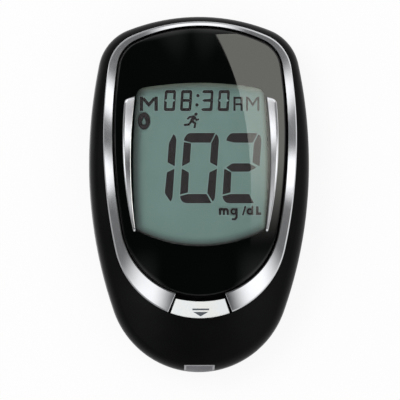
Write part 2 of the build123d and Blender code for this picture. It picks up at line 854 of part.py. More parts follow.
with BuildPart() as lcd_holder:
    add(column(glass_face(holder_grow), board_top, holder_rim))
    add(column(glass_face(slip), reflector_low, tall), mode=Mode.SUBTRACT)
    room_x = (-glass_half_width + 0.4, glass_half_width - 0.4)
    room_y = (zebra_spots[0] + zebra_thickness, zebra_spots[1] - zebra_thickness)
    add(block(room_x, room_y, (0, reflector_low - holder_shelf)), mode=Mode.SUBTRACT)
    view_x = (-glass_half_width + holder_seat, glass_half_width - holder_seat)
    view_y = (room_y[0] + holder_seat, room_y[1] - holder_seat)
    add(block(view_x, view_y, (0, tall)), mode=Mode.SUBTRACT)
    for y in zebra_spots:
        slot_y = (y - zebra_thickness / 2 - slide_gap, y + zebra_thickness / 2 + slide_gap)
        slot_x = (-zebra_half_length - slip, zebra_half_length + slip)
        add(block(slot_x, slot_y, (0, tall)), mode=Mode.SUBTRACT)
save(lcd_holder, "lcd_holder")

# ---- main board and what it carries ----
with BuildPart() as main_board:
    add(column(egg_face(case_egg, board_inset), board_low, board_top))
    front_edge = connector_front_y - board_gap
    add(block((-case_width, case_width), (-case_length, front_edge), (0, tall)), mode=Mode.SUBTRACT)
    add(rods(case_screw_spots, boss_radius + board_gap, 0, tall), mode=Mode.SUBTRACT)
    add(rods(board_screw_spots, board_screw_radius + 0.15, 0, tall), mode=Mode.SUBTRACT)
save(main_board, "main_board")

with BuildPart() as board_screws:
    add(rods(board_screw_spots, board_screw_radius, board_top - board_screw_length, board_top))
    add(rods(board_screw_spots, board_head_radius, board_top, board_top + board_head_height))
    recess_low = board_top + board_head_height - cross_depth
    add(cross_recess(board_screw_spots, recess_low, tall, 1.5 * board_head_radius), mode=Mode.SUBTRACT)
save(board_screws, "board_screws")

with BuildPart() as case_screws:
    head_low = case_head_depth - case_head_height
    add(rods(case_screw_spots, case_head_radius, head_low, case_head_depth))
    add(rods(case_screw_spots, case_screw_radius, case_head_depth, case_head_depth + case_screw_length))
    add(cross_recess(case_screw_spots, 0, head_low + cross_depth, 1.3 * case_head_radius), mode=Mode.SUBTRACT)
save(case_screws, "case_screws")

with BuildPart() as microcontroller:
    lead_span = chip_size / 2 + lead_reach
    for i in range(chip_leads):
        shift = (i - (chip_leads - 1) / 2) * chip_size / (chip_leads + 1)
        with BuildSketch(Plane.XY.offset(board_top)):
            with Locations((chip_spot[0], chip_spot[1] + shift)):
                Rectangle(2 * lead_span, lead_width)
            with Locations((chip_spot[0] + shift, chip_spot[1])):
                Rectangle(lead_width, 2 * lead_span)
        extrude(amount=lead_width)
    with BuildSketch(Plane.XY.offset(board_top)):
        with Locations(chip_spot):
            Rectangle(chip_size, chip_size)
    extrude(amount=chip_height)
save(microcontroller, "microcontroller")

with BuildPart() as radio_module:
    with BuildSketch(Plane.XY.offset(board_top)):
        with Locations(radio_spot):
            Rectangle(radio_length, radio_depth)
    extrude(amount=radio_height / 3)
    with BuildSketch(Plane.XY.offset(board_top + radio_height / 3)):
        with Locations(radio_spot):
            RectangleRounded(radio_length - 1, radio_depth - 1, 0.5)
    extrude(amount=radio_height * 2 / 3)
save(radio_module, "radio_module")

with BuildPart() as antenna:
    with BuildSketch(Plane.XY.offset(board_top)):
        with Locations(antenna_spot):
            Rectangle(antenna_length, antenna_width)
    extrude(amount=antenna_height)
save(antenna, "antenna")

with BuildPart() as buzzer:
    with BuildSketch(Plane.XY.offset(board_top)):
        with Locations(buzzer_spot):
            Circle(buzzer_radius)
            Circle(buzzer_hole, mode=Mode.SUBTRACT)
    extrude(amount=buzzer_height)
save(buzzer, "buzzer")

with BuildPart() as crystal:
    with BuildSketch(Plane.XY.offset(board_top)):
        with Locations(crystal_spot):
            SlotOverall(crystal_length, crystal_width)
    extrude(amount=crystal_height)
save(crystal, "crystal")

passive_spots = [
    (start + passive_pitch[0] * i, passive_y - passive_pitch[1] * j)
    for start, rows in [(8.0, 3), (-12.0, 2)]
    for i in range(3)
    for j in range(rows)
]
with BuildPart() as passives:
    with BuildSketch(Plane.XY.offset(board_top)):
        with Locations(*passive_spots):
            Rectangle(passive_length, passive_width)
    extrude(amount=passive_width)
save(passives, "passives")

# ---- keys in the top end, with the side-pushed switches that they work ----
switch_y = (switch_front_y - switch_depth, switch_front_y)
plunger_span = (plunger_z - plunger_height / 2, plunger_z + plunger_height / 2)
plunger_tip_y = switch_front_y + plunger_out

with BuildPart() as key_switches:
    for x in key_spots:
        body_x = (x - switch_width / 2, x + switch_width / 2)
        add(block(body_x, switch_y, (board_top, board_top + switch_height)))
        room_half = plunger_width / 2 + plunger_gap
        room_y = (switch_front_y - plunger_in - key_travel - plunger_gap, switch_front_y + 1)
        room_z = (plunger_span[0] - plunger_gap, plunger_span[1] + plunger_gap)
        add(block((x - room_half, x + room_half), room_y, room_z), mode=Mode.SUBTRACT)
save(key_switches, "key_switches")

behind_wall = column(egg_face(case_egg, wall + 0.1), 0, tall)
behind_flange = column(egg_face(case_egg, wall + 0.1 + key_flange), 0, tall)
for name, x in zip(["minus", "set", "plus"], key_spots):
    face_x = (x - key_width / 2, x + key_width / 2)
    flange_x = (x - key_width / 2 - key_lap, x + key_width / 2 + key_lap)
    stem_x = (x - key_stem_width / 2, x + key_stem_width / 2)
    stem_z = (plunger_z - key_stem_height / 2, plunger_z + key_stem_height / 2)
    inner_y = top_end_y(x, wall + 0.1 + key_flange)
    with BuildPart() as key:
        add(shaped(block(face_x, (0, tall + case_length), key_z), [outer_skin], [behind_wall]))
        flange_z = (key_z[0] - key_lap, key_z[1] + key_lap)
        add(shaped(block(flange_x, (0, case_length), flange_z), [behind_wall], [behind_flange]))
        add(block(stem_x, (plunger_tip_y + bond, inner_y + 0.1), stem_z))
    save(key, f"{name}_key")

    with BuildPart() as plunger:
        plunger_x = (x - plunger_width / 2, x + plunger_width / 2)
        add(block(plunger_x, (switch_front_y - plunger_in, plunger_tip_y), plunger_span))
    save(plunger, f"{name}_plunger")

# ---- coin cells and their contacts ----
with BuildPart() as coin_cell_lower:
    add(rods(cell_spots[:1], cell_radius, cell_low, cell_low + can_height))
    add(rods(cell_spots[:1], cap_radius, cell_low, cell_high))
save(coin_cell_lower, "coin_cell_lower")

with BuildPart() as coin_cell_upper:
    add(rods(cell_spots[1:], cell_radius, cell_high - can_height, cell_high))
    add(rods(cell_spots[1:], cap_radius, cell_low, cell_high))
save(coin_cell_upper, "coin_cell_upper")

with BuildPart() as cell_contacts:
    for _, y in cell_spots:
        with BuildSketch(Plane.YZ.offset(-leaf_width / 2)):
            with BuildLine() as leaf:
                Polyline(
                    (y - 5, board_low - leaf_thickness / 2 - bond),
                    (y - 3, board_low - leaf_thickness / 2 - bond),
                    (y + 2, cell_high + leaf_thickness / 2 + bond),
                    (y + 3.5, cell_high + leaf_thickness / 2 + bond + 0.2),
                )
            trace(line_width=leaf_thickness)
        extrude(amount=leaf_width)
save(cell_contacts, "cell_contacts")

# ---- battery door: it hooks in at its lower end and swings out about that end ----
hook_low = wall + hook_gap
hook_parts = [  # the upright, then the tongue that reaches over the cover's edge
    ((door_axis_y - 0.15, door_axis_y + hook_reach), (door_thickness / 2, hook_low + hook_thickness)),
    ((door_low_y - door_gap - hook_reach, door_axis_y + hook_reach), (hook_low, hook_low + hook_thickness)),
]
door_hooks = [
    block((x - hook_width / 2, x + hook_width / 2), y_span, z_span)
    for x in (hook_x, -hook_x)
    for y_span, z_span in hook_parts
]
latch_slots = [
    block(span, (door_high_y - latch_length, door_high_y + 1), (-1, door_thickness + 1))
    for span in sides(latch_half_width, latch_half_width + latch_slot)
]
with BuildPart() as battery_door:
    add(column(door_face(0), 0, door_thickness))
    fillet(battery_door.edges().filter_by(Axis.X).group_by(Axis.Y)[0], door_thickness / 2 - 0.05)
    for solid in door_hooks:
        add(solid)
    for solid in latch_slots:
        add(solid, mode=Mode.SUBTRACT)
    rib_x = (-latch_half_width + rib_margin, latch_half_width - rib_margin)
    for i in range(rib_count):
        rib_y = door_high_y - rib_first - i * rib_pitch
        rib = block(rib_x, (rib_y - rib_width / 2, rib_y + rib_width / 2), (-1, rib_depth))
        add(rib, mode=Mode.SUBTRACT)
save(battery_door, "battery_door")

with BuildPart() as door_contact:
    with BuildSketch(Plane.XY.offset(door_thickness)):
        with Locations((0, cells_y)):
            SlotOverall(cell_pitch + contact_width, contact_width, rotation=90)
    extrude(amount=contact_thickness)
    add(rods(cell_spots, contact_bump_radius, contact_top, cell_low))
save(door_contact, "door_contact")

with BuildPart() as rear_label:
    with BuildSketch(Plane.XY.offset(label_recess - bond - label_thickness)):
        with Locations(label_spot):
            RectangleRounded(label_width, label_length, 1.5)
    extrude(amount=label_thickness)
save(rear_label, "rear_label")
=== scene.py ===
import json
from collections import namedtuple
from math import asin, atan2, cos, hypot, pi, radians, sin, sqrt

import bmesh
import bpy
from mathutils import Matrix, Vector

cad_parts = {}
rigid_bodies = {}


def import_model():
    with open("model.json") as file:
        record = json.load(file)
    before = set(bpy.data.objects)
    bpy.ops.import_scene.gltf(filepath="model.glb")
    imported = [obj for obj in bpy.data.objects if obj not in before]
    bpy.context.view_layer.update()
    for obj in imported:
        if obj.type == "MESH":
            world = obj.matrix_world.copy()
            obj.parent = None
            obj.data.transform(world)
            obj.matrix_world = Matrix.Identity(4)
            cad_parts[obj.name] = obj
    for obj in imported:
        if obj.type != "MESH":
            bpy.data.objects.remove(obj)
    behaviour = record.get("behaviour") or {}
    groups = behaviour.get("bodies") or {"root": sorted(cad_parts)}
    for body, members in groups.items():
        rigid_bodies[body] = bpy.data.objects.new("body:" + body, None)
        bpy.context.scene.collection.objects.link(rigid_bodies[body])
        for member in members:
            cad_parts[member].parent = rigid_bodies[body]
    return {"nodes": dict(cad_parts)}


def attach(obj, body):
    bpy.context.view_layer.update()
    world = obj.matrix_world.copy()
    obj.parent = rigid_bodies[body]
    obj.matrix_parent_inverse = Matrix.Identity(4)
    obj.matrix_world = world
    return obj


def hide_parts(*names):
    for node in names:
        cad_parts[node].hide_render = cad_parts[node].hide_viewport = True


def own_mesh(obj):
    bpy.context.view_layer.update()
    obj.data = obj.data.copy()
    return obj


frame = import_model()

# a clean stage, whatever file Blender was started with
for leftOver in [o for o in bpy.data.objects if o.type in {"LIGHT", "CAMERA"} or o.name == "Cube"]:
    bpy.data.objects.remove(leftOver)

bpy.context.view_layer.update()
mm = 0.001
print("meter: frame loaded,", len(frame["nodes"]), "nodes")


# helpers for node trees

nodeLayout = dict(perRow=6, across=220, down=260)


def addNode(tree, kind, **settings):
    # nodes stand in rows, in the order in which they are made
    row, column = divmod(len(tree.nodes), nodeLayout["perRow"])
    node = tree.nodes.new(kind)
    node.location = (column * nodeLayout["across"], -row * nodeLayout["down"])
    for key, value in settings.items():
        setattr(node, key, value)
    return node


def feed(tree, node, inputs):
    # a socket is linked to the input, anything else is set on it
    for label, value in inputs.items():
        if isinstance(value, bpy.types.NodeSocket):
            tree.links.new(value, node.inputs[label])
        else:
            node.inputs[label].default_value = value
    return node


def mathOf(tree, operation, *values, clamp=False):
    node = addNode(tree, "ShaderNodeMath", operation=operation, use_clamp=clamp)
    return feed(tree, node, dict(enumerate(values))).outputs[0]


def rampOf(tree, value, start, end, atStart=0.0, atEnd=1.0, smooth=True):
    ramp = addNode(tree, "ShaderNodeMapRange", interpolation_type="SMOOTHSTEP" if smooth else "LINEAR")
    return feed(tree, ramp, {"Value": value, "From Min": start, "From Max": end, "To Min": atStart,
                             "To Max": atEnd}).outputs["Result"]


def mixOf(tree, factor, one, other, kind="RGBA"):
    mix = addNode(tree, "ShaderNodeMix", data_type=kind)
    return feed(tree, mix, {"Factor": factor, "A": one, "B": other}).outputs["Result"]


def mixShaders(tree, factor, one, other):
    return feed(tree, addNode(tree, "ShaderNodeMixShader"), {0: factor, 1: one, 2: other}).outputs[0]


# node groups shared by the finishes

def newGroup(name, inputs, outputs):
    # inputs as (label, start value), outputs by label; a colour has four numbers
    group = bpy.data.node_groups.new(name, "ShaderNodeTree")
    for label, value in inputs:
        kind = "NodeSocketColor" if isinstance(value, tuple) else "NodeSocketFloat"
        group.interface.new_socket(name=label, in_out="INPUT", socket_type=kind).default_value = value
    for label in outputs:
        kind = "NodeSocketColor" if label == "Color" else "NodeSocketFloat"
        group.interface.new_socket(name=label, in_out="OUTPUT", socket_type=kind)
    return group, addNode(group, "NodeGroupInput").outputs, addNode(group, "NodeGroupOutput")


noiseValues = dict(tone=dict(detail=4.0, span=(0.35, 0.65)), rub=dict(detail=4.0, span=(0.35, 0.6), flat=0.5),
                   gloss=dict(detail=5.0, span=(0.3, 0.7), shift=3.7), grain=dict(detail=2.0, brushed=0.04))


def noiseBySize(group, given, detail, stretch=(1.0, 1.0, 1.0), shift=0.0):
    # noise whose blobs are about as large as the size, in millimetres
    coords = addNode(group, "ShaderNodeTexCoord").outputs["Object"]
    mapping = addNode(group, "ShaderNodeMapping")
    feed(group, mapping, {"Vector": coords, "Scale": stretch, "Location": (shift, shift, shift)})
    noise = addNode(group, "ShaderNodeTexNoise")
    feed(group, noise, {"Vector": mapping.outputs["Vector"], "Detail": detail,
                        "Scale": mathOf(group, "DIVIDE", 1 / mm, given["Size"])})
    return noise.outputs["Fac"]


def makeToneDrift():
    v = noiseValues["tone"]
    group, given, end = newGroup(
        "toneDrift", [("Near Tone", (0.5, 0.5, 0.5, 1)), ("Far Tone", (0.4, 0.4, 0.4, 1)), ("Size", 6.0)],
        ["Color"])
    mask = rampOf(group, noiseBySize(group, given, v["detail"]), *v["span"], smooth=False)
    feed(group, end, {"Color": mixOf(group, mask, given["Near Tone"], given["Far Tone"])})
    return group


def makeGlossDrift():
    v = noiseValues["gloss"]
    group, given, end = newGroup(
        "glossDrift", [("Polished", 0.2), ("Dull", 0.4), ("Size", 9.0)], ["Roughness"])
    noise = noiseBySize(group, given, v["detail"], shift=v["shift"])
    feed(group, end, {"Roughness": rampOf(group, noise, *v["span"], given["Polished"], given["Dull"],
                                          smooth=False)})
    return group


def makeMouldGrain():
    v = noiseValues["grain"]
    group, given, end = newGroup("mouldGrain", [("Size", 0.2), ("Lines", 0.0)], ["Height"])
    pebbles = noiseBySize(group, given, v["detail"])
    brushed = noiseBySize(group, given, v["detail"], stretch=(v["brushed"], 1.0, 1.0))
    feed(group, end, {"Height": mixOf(group, given["Lines"], pebbles, brushed, "FLOAT")})
    return group


def makeEdgeRub():
    v = noiseValues["rub"]
    group, given, end = newGroup("edgeRub", [("Reach", 0.08), ("Size", 2.0)], ["Mask"])
    pointed = addNode(group, "ShaderNodeNewGeometry").outputs["Pointiness"]
    share = mathOf(group, "DIVIDE", mathOf(group, "SUBTRACT", pointed, v["flat"]), given["Reach"], clamp=True)
    broken = rampOf(group, noiseBySize(group, given, v["detail"]), *v["span"], smooth=False)
    feed(group, end, {"Mask": mathOf(group, "MULTIPLY", share, broken, clamp=True)})
    return group


def makeArcDistance():
    # how far a spot lies inside a circle, in millimetres
    group, given, end = newGroup(
        "arcDistance", [("Middle X", 0.0), ("Middle Y", 0.0), ("Radius", 30.0)], ["Distance"])
    split = addNode(group, "ShaderNodeSeparateXYZ")
    feed(group, split, {0: addNode(group, "ShaderNodeTexCoord").outputs["Object"]})
    middle = addNode(group, "ShaderNodeCombineXYZ")
    flat = addNode(group, "ShaderNodeCombineXYZ")
    for axis in range(2):
        feed(group, flat, {axis: mathOf(group, "MULTIPLY", split.outputs[axis], 1 / mm)})
        feed(group, middle, {axis: given[axis]})
    apart = addNode(group, "ShaderNodeVectorMath", operation="DISTANCE")
    feed(group, apart, {0: flat.outputs[0], 1: middle.outputs[0]})
    feed(group, end, {"Distance": mathOf(group, "SUBTRACT", given["Radius"], apart.outputs["Value"])})
    return group


toneDrift = makeToneDrift()
glossDrift = makeGlossDrift()
mouldGrain = makeMouldGrain()
edgeRub = makeEdgeRub()
arcDistance = makeArcDistance()
print("meter: node groups made")


# finishes

def useGroup(tree, group, output, **values):
    node = addNode(tree, "ShaderNodeGroup", node_tree=group)
    feed(tree, node, {label.replace("_", " "): value for label, value in values.items()})
    return node.outputs[output]


def rgba(colour):
    return (*colour, 1.0)


def startMaterial(name):
    material = bpy.data.materials.new(name)
    material.use_nodes = True
    tree = material.node_tree
    return material, tree, tree.nodes["Principled BSDF"]


def makeFinish(name, tones, toneSize=6.0, gloss=(0.3, 0.4), glossSize=9.0, grain=(0.2, 0.002), lines=0.0,
               rub=None, metallic=0.0, specular=0.5):
    # a moulded, plated or stamped surface: drifting tone, drifting gloss, a fine grain and rubbed edges
    material, tree, shader = startMaterial(name)
    near, far = rgba(tones[0]), rgba(tones[1])
    colour = useGroup(tree, toneDrift, "Color", Near_Tone=near, Far_Tone=far, Size=toneSize)
    if rub:
        wear = useGroup(tree, edgeRub, "Mask", Reach=rub["reach"], Size=rub["size"])
        colour = mixOf(tree, wear, colour, rgba(rub["colour"]))
    bump = addNode(tree, "ShaderNodeBump")
    feed(tree, bump, {"Distance": grain[1] * mm,
                      "Height": useGroup(tree, mouldGrain, "Height", Size=grain[0], Lines=lines)})
    roughness = useGroup(tree, glossDrift, "Roughness", Polished=gloss[0], Dull=gloss[1], Size=glossSize)
    feed(tree, shader, {"Base Color": colour, "Roughness": roughness, "Normal": bump.outputs["Normal"],
                        "Metallic": metallic, "Specular IOR Level": specular})
    return material


lensPlastic = dict(tone=(0.97, 0.985, 0.98), ior=1.49, gloss=(0.0, 0.02), glossSize=14.0)


def makeClearLens(name):
    # clear window plastic: light that only passes on its way to the display isn't held up
    v = lensPlastic
    material, tree, shader = startMaterial(name)
    roughness = useGroup(tree, glossDrift, "Roughness", Polished=v["gloss"][0], Dull=v["gloss"][1],
                         Size=v["glossSize"])
    feed(tree, shader, {"Base Color": rgba(v["tone"]), "Transmission Weight": 1.0, "Metallic": 0.0,
                        "IOR": v["ior"], "Roughness": roughness})
    shadow = addNode(tree, "ShaderNodeLightPath").outputs["Is Shadow Ray"]
    clear = addNode(tree, "ShaderNodeBsdfTransparent").outputs[0]
    feed(tree, tree.nodes["Material Output"], {"Surface": mixShaders(tree, shadow, shader.outputs[0], clear)})
    return material


windowValues = dict(halfWidth=16.55, top=27.35, bottom=-12.6, middleY=7.0, sideRadius=170.0,
                    topRadius=82.0, bottomRadius=34.0, topCorner=2.2, bottomCorner=1.2)
# painted light and shade at the window's rim: the olive colour is painted light, the dark colour is painted
# shade
paintedRimLightAndShade = dict(outside=-0.4, olive=(0.45, 0.52, 0.40), oliveReach=1.5, oliveShare=0.85, oliveAtSide=0.4,
                dark=(0.012, 0.016, 0.014), leftReach=2.6, rightReach=1.1, footReach=2.6, darkShare=0.92,
                darkAtLeft=0.8)


def makeDisplayFinish(name):
    # display glass with the light and shade of the window's rim painted into its colour: painted olive light
    # at two sides, painted dark shade at the others
    w, r = windowValues, paintedRimLightAndShade
    material = makeFinish(name, **finishValues["displayGlass"])
    tree = material.node_tree
    shader = tree.nodes["Principled BSDF"]
    sideX = w["sideRadius"] - w["halfWidth"]

    def rimMask(x, y, radius, reach, share):
        arc = useGroup(tree, arcDistance, "Distance", Middle_X=x, Middle_Y=y, Radius=radius)
        return rampOf(tree, arc, r["outside"], reach, share, 0.0)

    def sideMask(side, reach, share):
        return rimMask(side * sideX, w["middleY"], w["sideRadius"], reach, share)

    # masks of the painted olive light, then of the painted dark shade, by distance from the window's rim
    top = rimMask(0.0, w["top"] - w["topRadius"], w["topRadius"], r["oliveReach"], r["oliveShare"])
    light = mathOf(tree, "MAXIMUM", top, sideMask(-1, r["oliveReach"], r["oliveShare"] * r["oliveAtSide"]))
    sides = mathOf(tree, "MAXIMUM", sideMask(1, r["leftReach"], r["darkShare"] * r["darkAtLeft"]),
                   sideMask(-1, r["rightReach"], r["darkShare"]))
    foot = rimMask(0.0, w["bottom"] + w["bottomRadius"], w["bottomRadius"], r["footReach"], r["darkShare"])
    dark = mathOf(tree, "MAXIMUM", sides, foot)
    colour = shader.inputs["Base Color"].links[0].from_socket
    # the painted light and the painted shade are mixed into the glass's own colour
    for mask, tone in ((light, r["olive"]), (dark, r["dark"])):
        colour = mixOf(tree, mask, colour, rgba(tone))
    feed(tree, shader, {"Base Color": colour})
    return material


finishValues = {
    "caseBlack": dict(tones=((0.0020, 0.0021, 0.0023), (0.0034, 0.0035, 0.0038)), toneSize=14.0,
                      gloss=(0.26, 0.33), specular=0.11, grain=(0.12, 0.0012)),
    "pianoBlack": dict(tones=((0.0016, 0.0022, 0.0021), (0.0022, 0.0028, 0.0027)), toneSize=20.0,
                       gloss=(0.015, 0.035), grain=(3.0, 0.0002)),
    "printBlack": dict(tones=((0.004, 0.005, 0.005), (0.006, 0.007, 0.007)), gloss=(0.45, 0.6),
                       grain=(0.1, 0.001)),
    "satinChrome": dict(tones=((0.80, 0.81, 0.83), (0.76, 0.77, 0.79)), toneSize=5.0, gloss=(0.09, 0.14),
                        grain=(0.08, 0.0003), metallic=1.0),
    "buttonSilver": dict(tones=((0.94, 0.975, 0.985), (0.95, 0.965, 0.93)), toneSize=5.0, gloss=(0.22, 0.3),
                         grain=(0.06, 0.0006)),
    "markSlate": dict(tones=((0.085, 0.10, 0.115), (0.11, 0.125, 0.14)), toneSize=1.0, gloss=(0.4, 0.5),
                      grain=(0.08, 0.0006)),
    "markWhite": dict(tones=((0.62, 0.63, 0.64), (0.55, 0.56, 0.57)), toneSize=1.0, gloss=(0.45, 0.55),
                      grain=(0.08, 0.0006)),
    # pale grey of the painted highlights on the port's lip and ends
    "paintedHighlightGrey": dict(tones=((0.40, 0.40, 0.415), (0.36, 0.36, 0.375)), toneSize=2.0, gloss=(0.35, 0.45),
                     grain=(0.1, 0.001)),
    "portGrey": dict(tones=((0.17, 0.17, 0.185), (0.20, 0.20, 0.215)), toneSize=3.0, gloss=(0.4, 0.5),
                     grain=(0.1, 0.002), specular=0.3),
    "displayGlass": dict(tones=((0.148, 0.245, 0.222), (0.158, 0.258, 0.235)), toneSize=9.0,
                         gloss=(0.30, 0.38), grain=(0.05, 0.0006), specular=0.3),
    "segmentInk": dict(tones=((0.010, 0.0055, 0.0065), (0.014, 0.008, 0.0095)), toneSize=2.0,
                       gloss=(0.5, 0.6), grain=(0.05, 0.0005), specular=0.05),
    # painted light: the pale halo that the lit glass shows around the ink
    "paintedInkHalo": dict(tones=((0.22, 0.335, 0.31), (0.24, 0.35, 0.325)), toneSize=3.0, gloss=(0.5, 0.6),
                    grain=(0.05, 0.0005), specular=0.1),
    "reflectorFilm": dict(tones=((0.62, 0.66, 0.6), (0.56, 0.6, 0.55)), gloss=(0.3, 0.4),
                          grain=(0.05, 0.002), metallic=0.7),
    "holderWhite": dict(tones=((0.72, 0.72, 0.69), (0.66, 0.66, 0.63)), gloss=(0.4, 0.55),
                        grain=(0.2, 0.004)),
    "zebraRubber": dict(tones=((0.05, 0.05, 0.055), (0.35, 0.12, 0.1)), toneSize=0.4, gloss=(0.6, 0.8),
                        grain=(0.08, 0.006)),
    "boardGreen": dict(tones=((0.012, 0.10, 0.045), (0.02, 0.16, 0.07)), toneSize=1.6, gloss=(0.25, 0.4),
                       grain=(0.35, 0.01)),
    "chipBlack": dict(tones=((0.018, 0.018, 0.019), (0.03, 0.03, 0.031)), toneSize=1.0, gloss=(0.5, 0.65),
                      grain=(0.06, 0.006), rub=dict(reach=0.1, size=0.5, colour=(0.08, 0.08, 0.08))),
    "tinShield": dict(tones=((0.72, 0.73, 0.74), (0.62, 0.63, 0.65)), toneSize=2.0, gloss=(0.28, 0.42),
                      grain=(0.1, 0.002), lines=0.7, metallic=1.0),
    "ceramic": dict(tones=((0.55, 0.47, 0.36), (0.42, 0.35, 0.27)), toneSize=0.6, gloss=(0.35, 0.5),
                    grain=(0.05, 0.003)),
    "connectorIvory": dict(tones=((0.70, 0.66, 0.55), (0.62, 0.58, 0.48)), toneSize=2.0, gloss=(0.4, 0.5),
                           grain=(0.12, 0.003)),
    "goldContact": dict(tones=((0.85, 0.62, 0.25), (0.72, 0.5, 0.2)), toneSize=0.6, gloss=(0.2, 0.35),
                        grain=(0.05, 0.001), metallic=1.0),
    "keyRubber": dict(tones=((0.009, 0.009, 0.0095), (0.013, 0.013, 0.014)), toneSize=2.5, gloss=(0.5, 0.6),
                      grain=(0.09, 0.004), specular=0.25),
    "cellSteel": dict(tones=((0.66, 0.66, 0.65), (0.56, 0.56, 0.55)), toneSize=4.0, gloss=(0.18, 0.34),
                      grain=(0.15, 0.002), lines=0.5, metallic=1.0),
    "springSteel": dict(tones=((0.55, 0.55, 0.56), (0.42, 0.42, 0.43)), toneSize=0.5, gloss=(0.22, 0.36),
                        grain=(0.04, 0.001), metallic=1.0),
    "leverWhite": dict(tones=((0.78, 0.78, 0.76), (0.70, 0.70, 0.68)), toneSize=1.0, gloss=(0.35, 0.5),
                       grain=(0.1, 0.003)),
    "screwSteel": dict(tones=((0.46, 0.46, 0.47), (0.30, 0.30, 0.31)), toneSize=0.6, gloss=(0.25, 0.42),
                       grain=(0.05, 0.002), metallic=1.0,
                       rub=dict(reach=0.1, size=0.4, colour=(0.7, 0.7, 0.7))),
    "labelPaper": dict(tones=((0.56, 0.57, 0.58), (0.50, 0.51, 0.52)), toneSize=3.0, gloss=(0.5, 0.6),
                       grain=(0.15, 0.004)),
    "adhesiveTape": dict(tones=((0.05, 0.05, 0.05), (0.08, 0.08, 0.08)), gloss=(0.7, 0.85),
                         grain=(0.2, 0.01)),
}
finish = {name: makeFinish(name, **values) for name, values in finishValues.items()}
finish["windowClear"] = makeClearLens("windowClear")
finish["displayPaintedRimLightAndShade"] = makeDisplayFinish("displayPaintedRimLightAndShade")
print("meter:", len(finish), "finishes made")

# the carried-over pieces by finish
nodesOfFinish = {
    "caseBlack": "front_cover rear_cover battery_door",
    "printBlack": "lens_mask",
    "adhesiveTape": "lens_gasket",
    "satinChrome": "bezel_ring left_accent right_accent",
    "buttonSilver": "release_button",
    "pianoBlack": "display_lens",
    "displayPaintedRimLightAndShade": "lcd_front_glass",
    "displayGlass": "lcd_rear_glass",
    "reflectorFilm": "lcd_reflector",
    "holderWhite": "lcd_holder",
    "zebraRubber": "zebra_connectors",
    "boardGreen": "main_board",
    "chipBlack": "microcontroller buzzer key_switches minus_plunger set_plunger plus_plunger",
    "tinShield": "radio_module crystal",
    "ceramic": "antenna passives",
    "connectorIvory": "strip_connector",
    "goldContact": "strip_contacts",
    "cellSteel": "coin_cell_lower coin_cell_upper",
    "springSteel": "cell_contacts door_contact button_spring lever_pin",
    "leverWhite": "ejector_lever ejector_slide",
    "portGrey": "port_lower_jaw port_upper_jaw",
    "keyRubber": "minus_key set_key plus_key",
    "screwSteel": "case_screws board_screws",
    "labelPaper": "rear_label",
}
finishOfNode = {node: name for name, nodes in nodesOfFinish.items() for node in nodes.split()}
for nodeName, node in frame["nodes"].items():
    if not node.material_slots:
        node.data.materials.append(None)
    for holder in node.material_slots:
        holder.material = finish[finishOfNode[nodeName]]


# outlines and heights, in millimetres

Egg = namedtuple("Egg", "top bottom halfWidth widestY crown corner upper lower")
ringEgg = Egg(42.4, -30.2, 23.75, 14.0, 42.1, 10.0, 119.0, 129.6)
lensEgg = Egg(41.15, -25.0, 21.4, 15.2, 37.0, 8.0, 112.2, 135.4)
skinValues = dict(crownY=5.0, lensCrown=17.5, lensAcross=110.0, lensAlong=260.0,
                  bodyCrown=19.8, bodyAcross=55.0, bodyAlong=130.0)


def cornerMiddle(first, second, radius, pick):
    # middle of the small arc that touches both circles from inside
    (x1, y1, r1), (x2, y2, r2) = first, second
    r1, r2 = r1 - radius, r2 - radius
    dx, dy = x2 - x1, y2 - y1
    apart = hypot(dx, dy)
    along = (r1 * r1 - r2 * r2 + apart * apart) / (2 * apart)
    aside = sqrt(r1 * r1 - along * along)
    spots = [(x1 + (dx * along + s * dy * aside) / apart, y1 + (dy * along - s * dx * aside) / apart)
             for s in (1, -1)]
    return (*pick(spots, key=lambda spot: spot[1]), radius)


def arcChain(circles):
    # each circle with the angles between which the outline follows it, crown to foot on the +X side
    joins = [pi / 2]
    for one, other in zip(circles, circles[1:]):
        small, big = sorted((one, other), key=lambda circle: circle[2])
        joins.append(atan2(small[1] - big[1], small[0] - big[0]))
    joins.append(-pi / 2)
    return [(*circle, high, low) for circle, high, low in zip(circles, joins, joins[1:])]


def eggArcs(egg):
    crown = (0.0, egg.top - egg.crown, egg.crown)
    upper = (egg.halfWidth - egg.upper, egg.widestY, egg.upper)
    lower = (egg.halfWidth - egg.lower, egg.widestY, egg.lower)
    corner = cornerMiddle(crown, upper, egg.corner, max)
    fall = egg.widestY - egg.bottom
    foot = (egg.lower ** 2 - lower[0] ** 2 - fall ** 2) / (2 * (egg.lower - fall))
    return arcChain([crown, corner, upper, lower, (0.0, egg.bottom + foot, foot)])


def windowArcs():
    w = windowValues
    crown = (0.0, w["top"] - w["topRadius"], w["topRadius"])
    side = (w["halfWidth"] - w["sideRadius"], w["middleY"], w["sideRadius"])
    foot = (0.0, w["bottom"] + w["bottomRadius"], w["bottomRadius"])
    return arcChain([crown, cornerMiddle(crown, side, w["topCorner"], max), side,
                     cornerMiddle(foot, side, w["bottomCorner"], min), foot])


def rimPoint(arcs, inset, heartY, angle):
    # where a ray from (0, heartY) meets the outline moved inwards by the inset
    side = 1.0 if cos(angle) >= 0 else -1.0
    ux, uy = abs(cos(angle)), sin(angle)
    best = None
    for x, y, radius, high, low in arcs:
        fx, fy = -x, heartY - y
        along = fx * ux + fy * uy
        under = along * along - fx * fx - fy * fy + (radius - inset) ** 2
        if under < 0:
            continue
        reach = sqrt(under) - along
        turn = atan2(fy + reach * uy, fx + reach * ux)
        miss = max(low - turn, turn - high, 0.0)
        if best is None or miss < best[0]:
            best = (miss, side * ux * reach, heartY + uy * reach)
    return best[1], best[2]


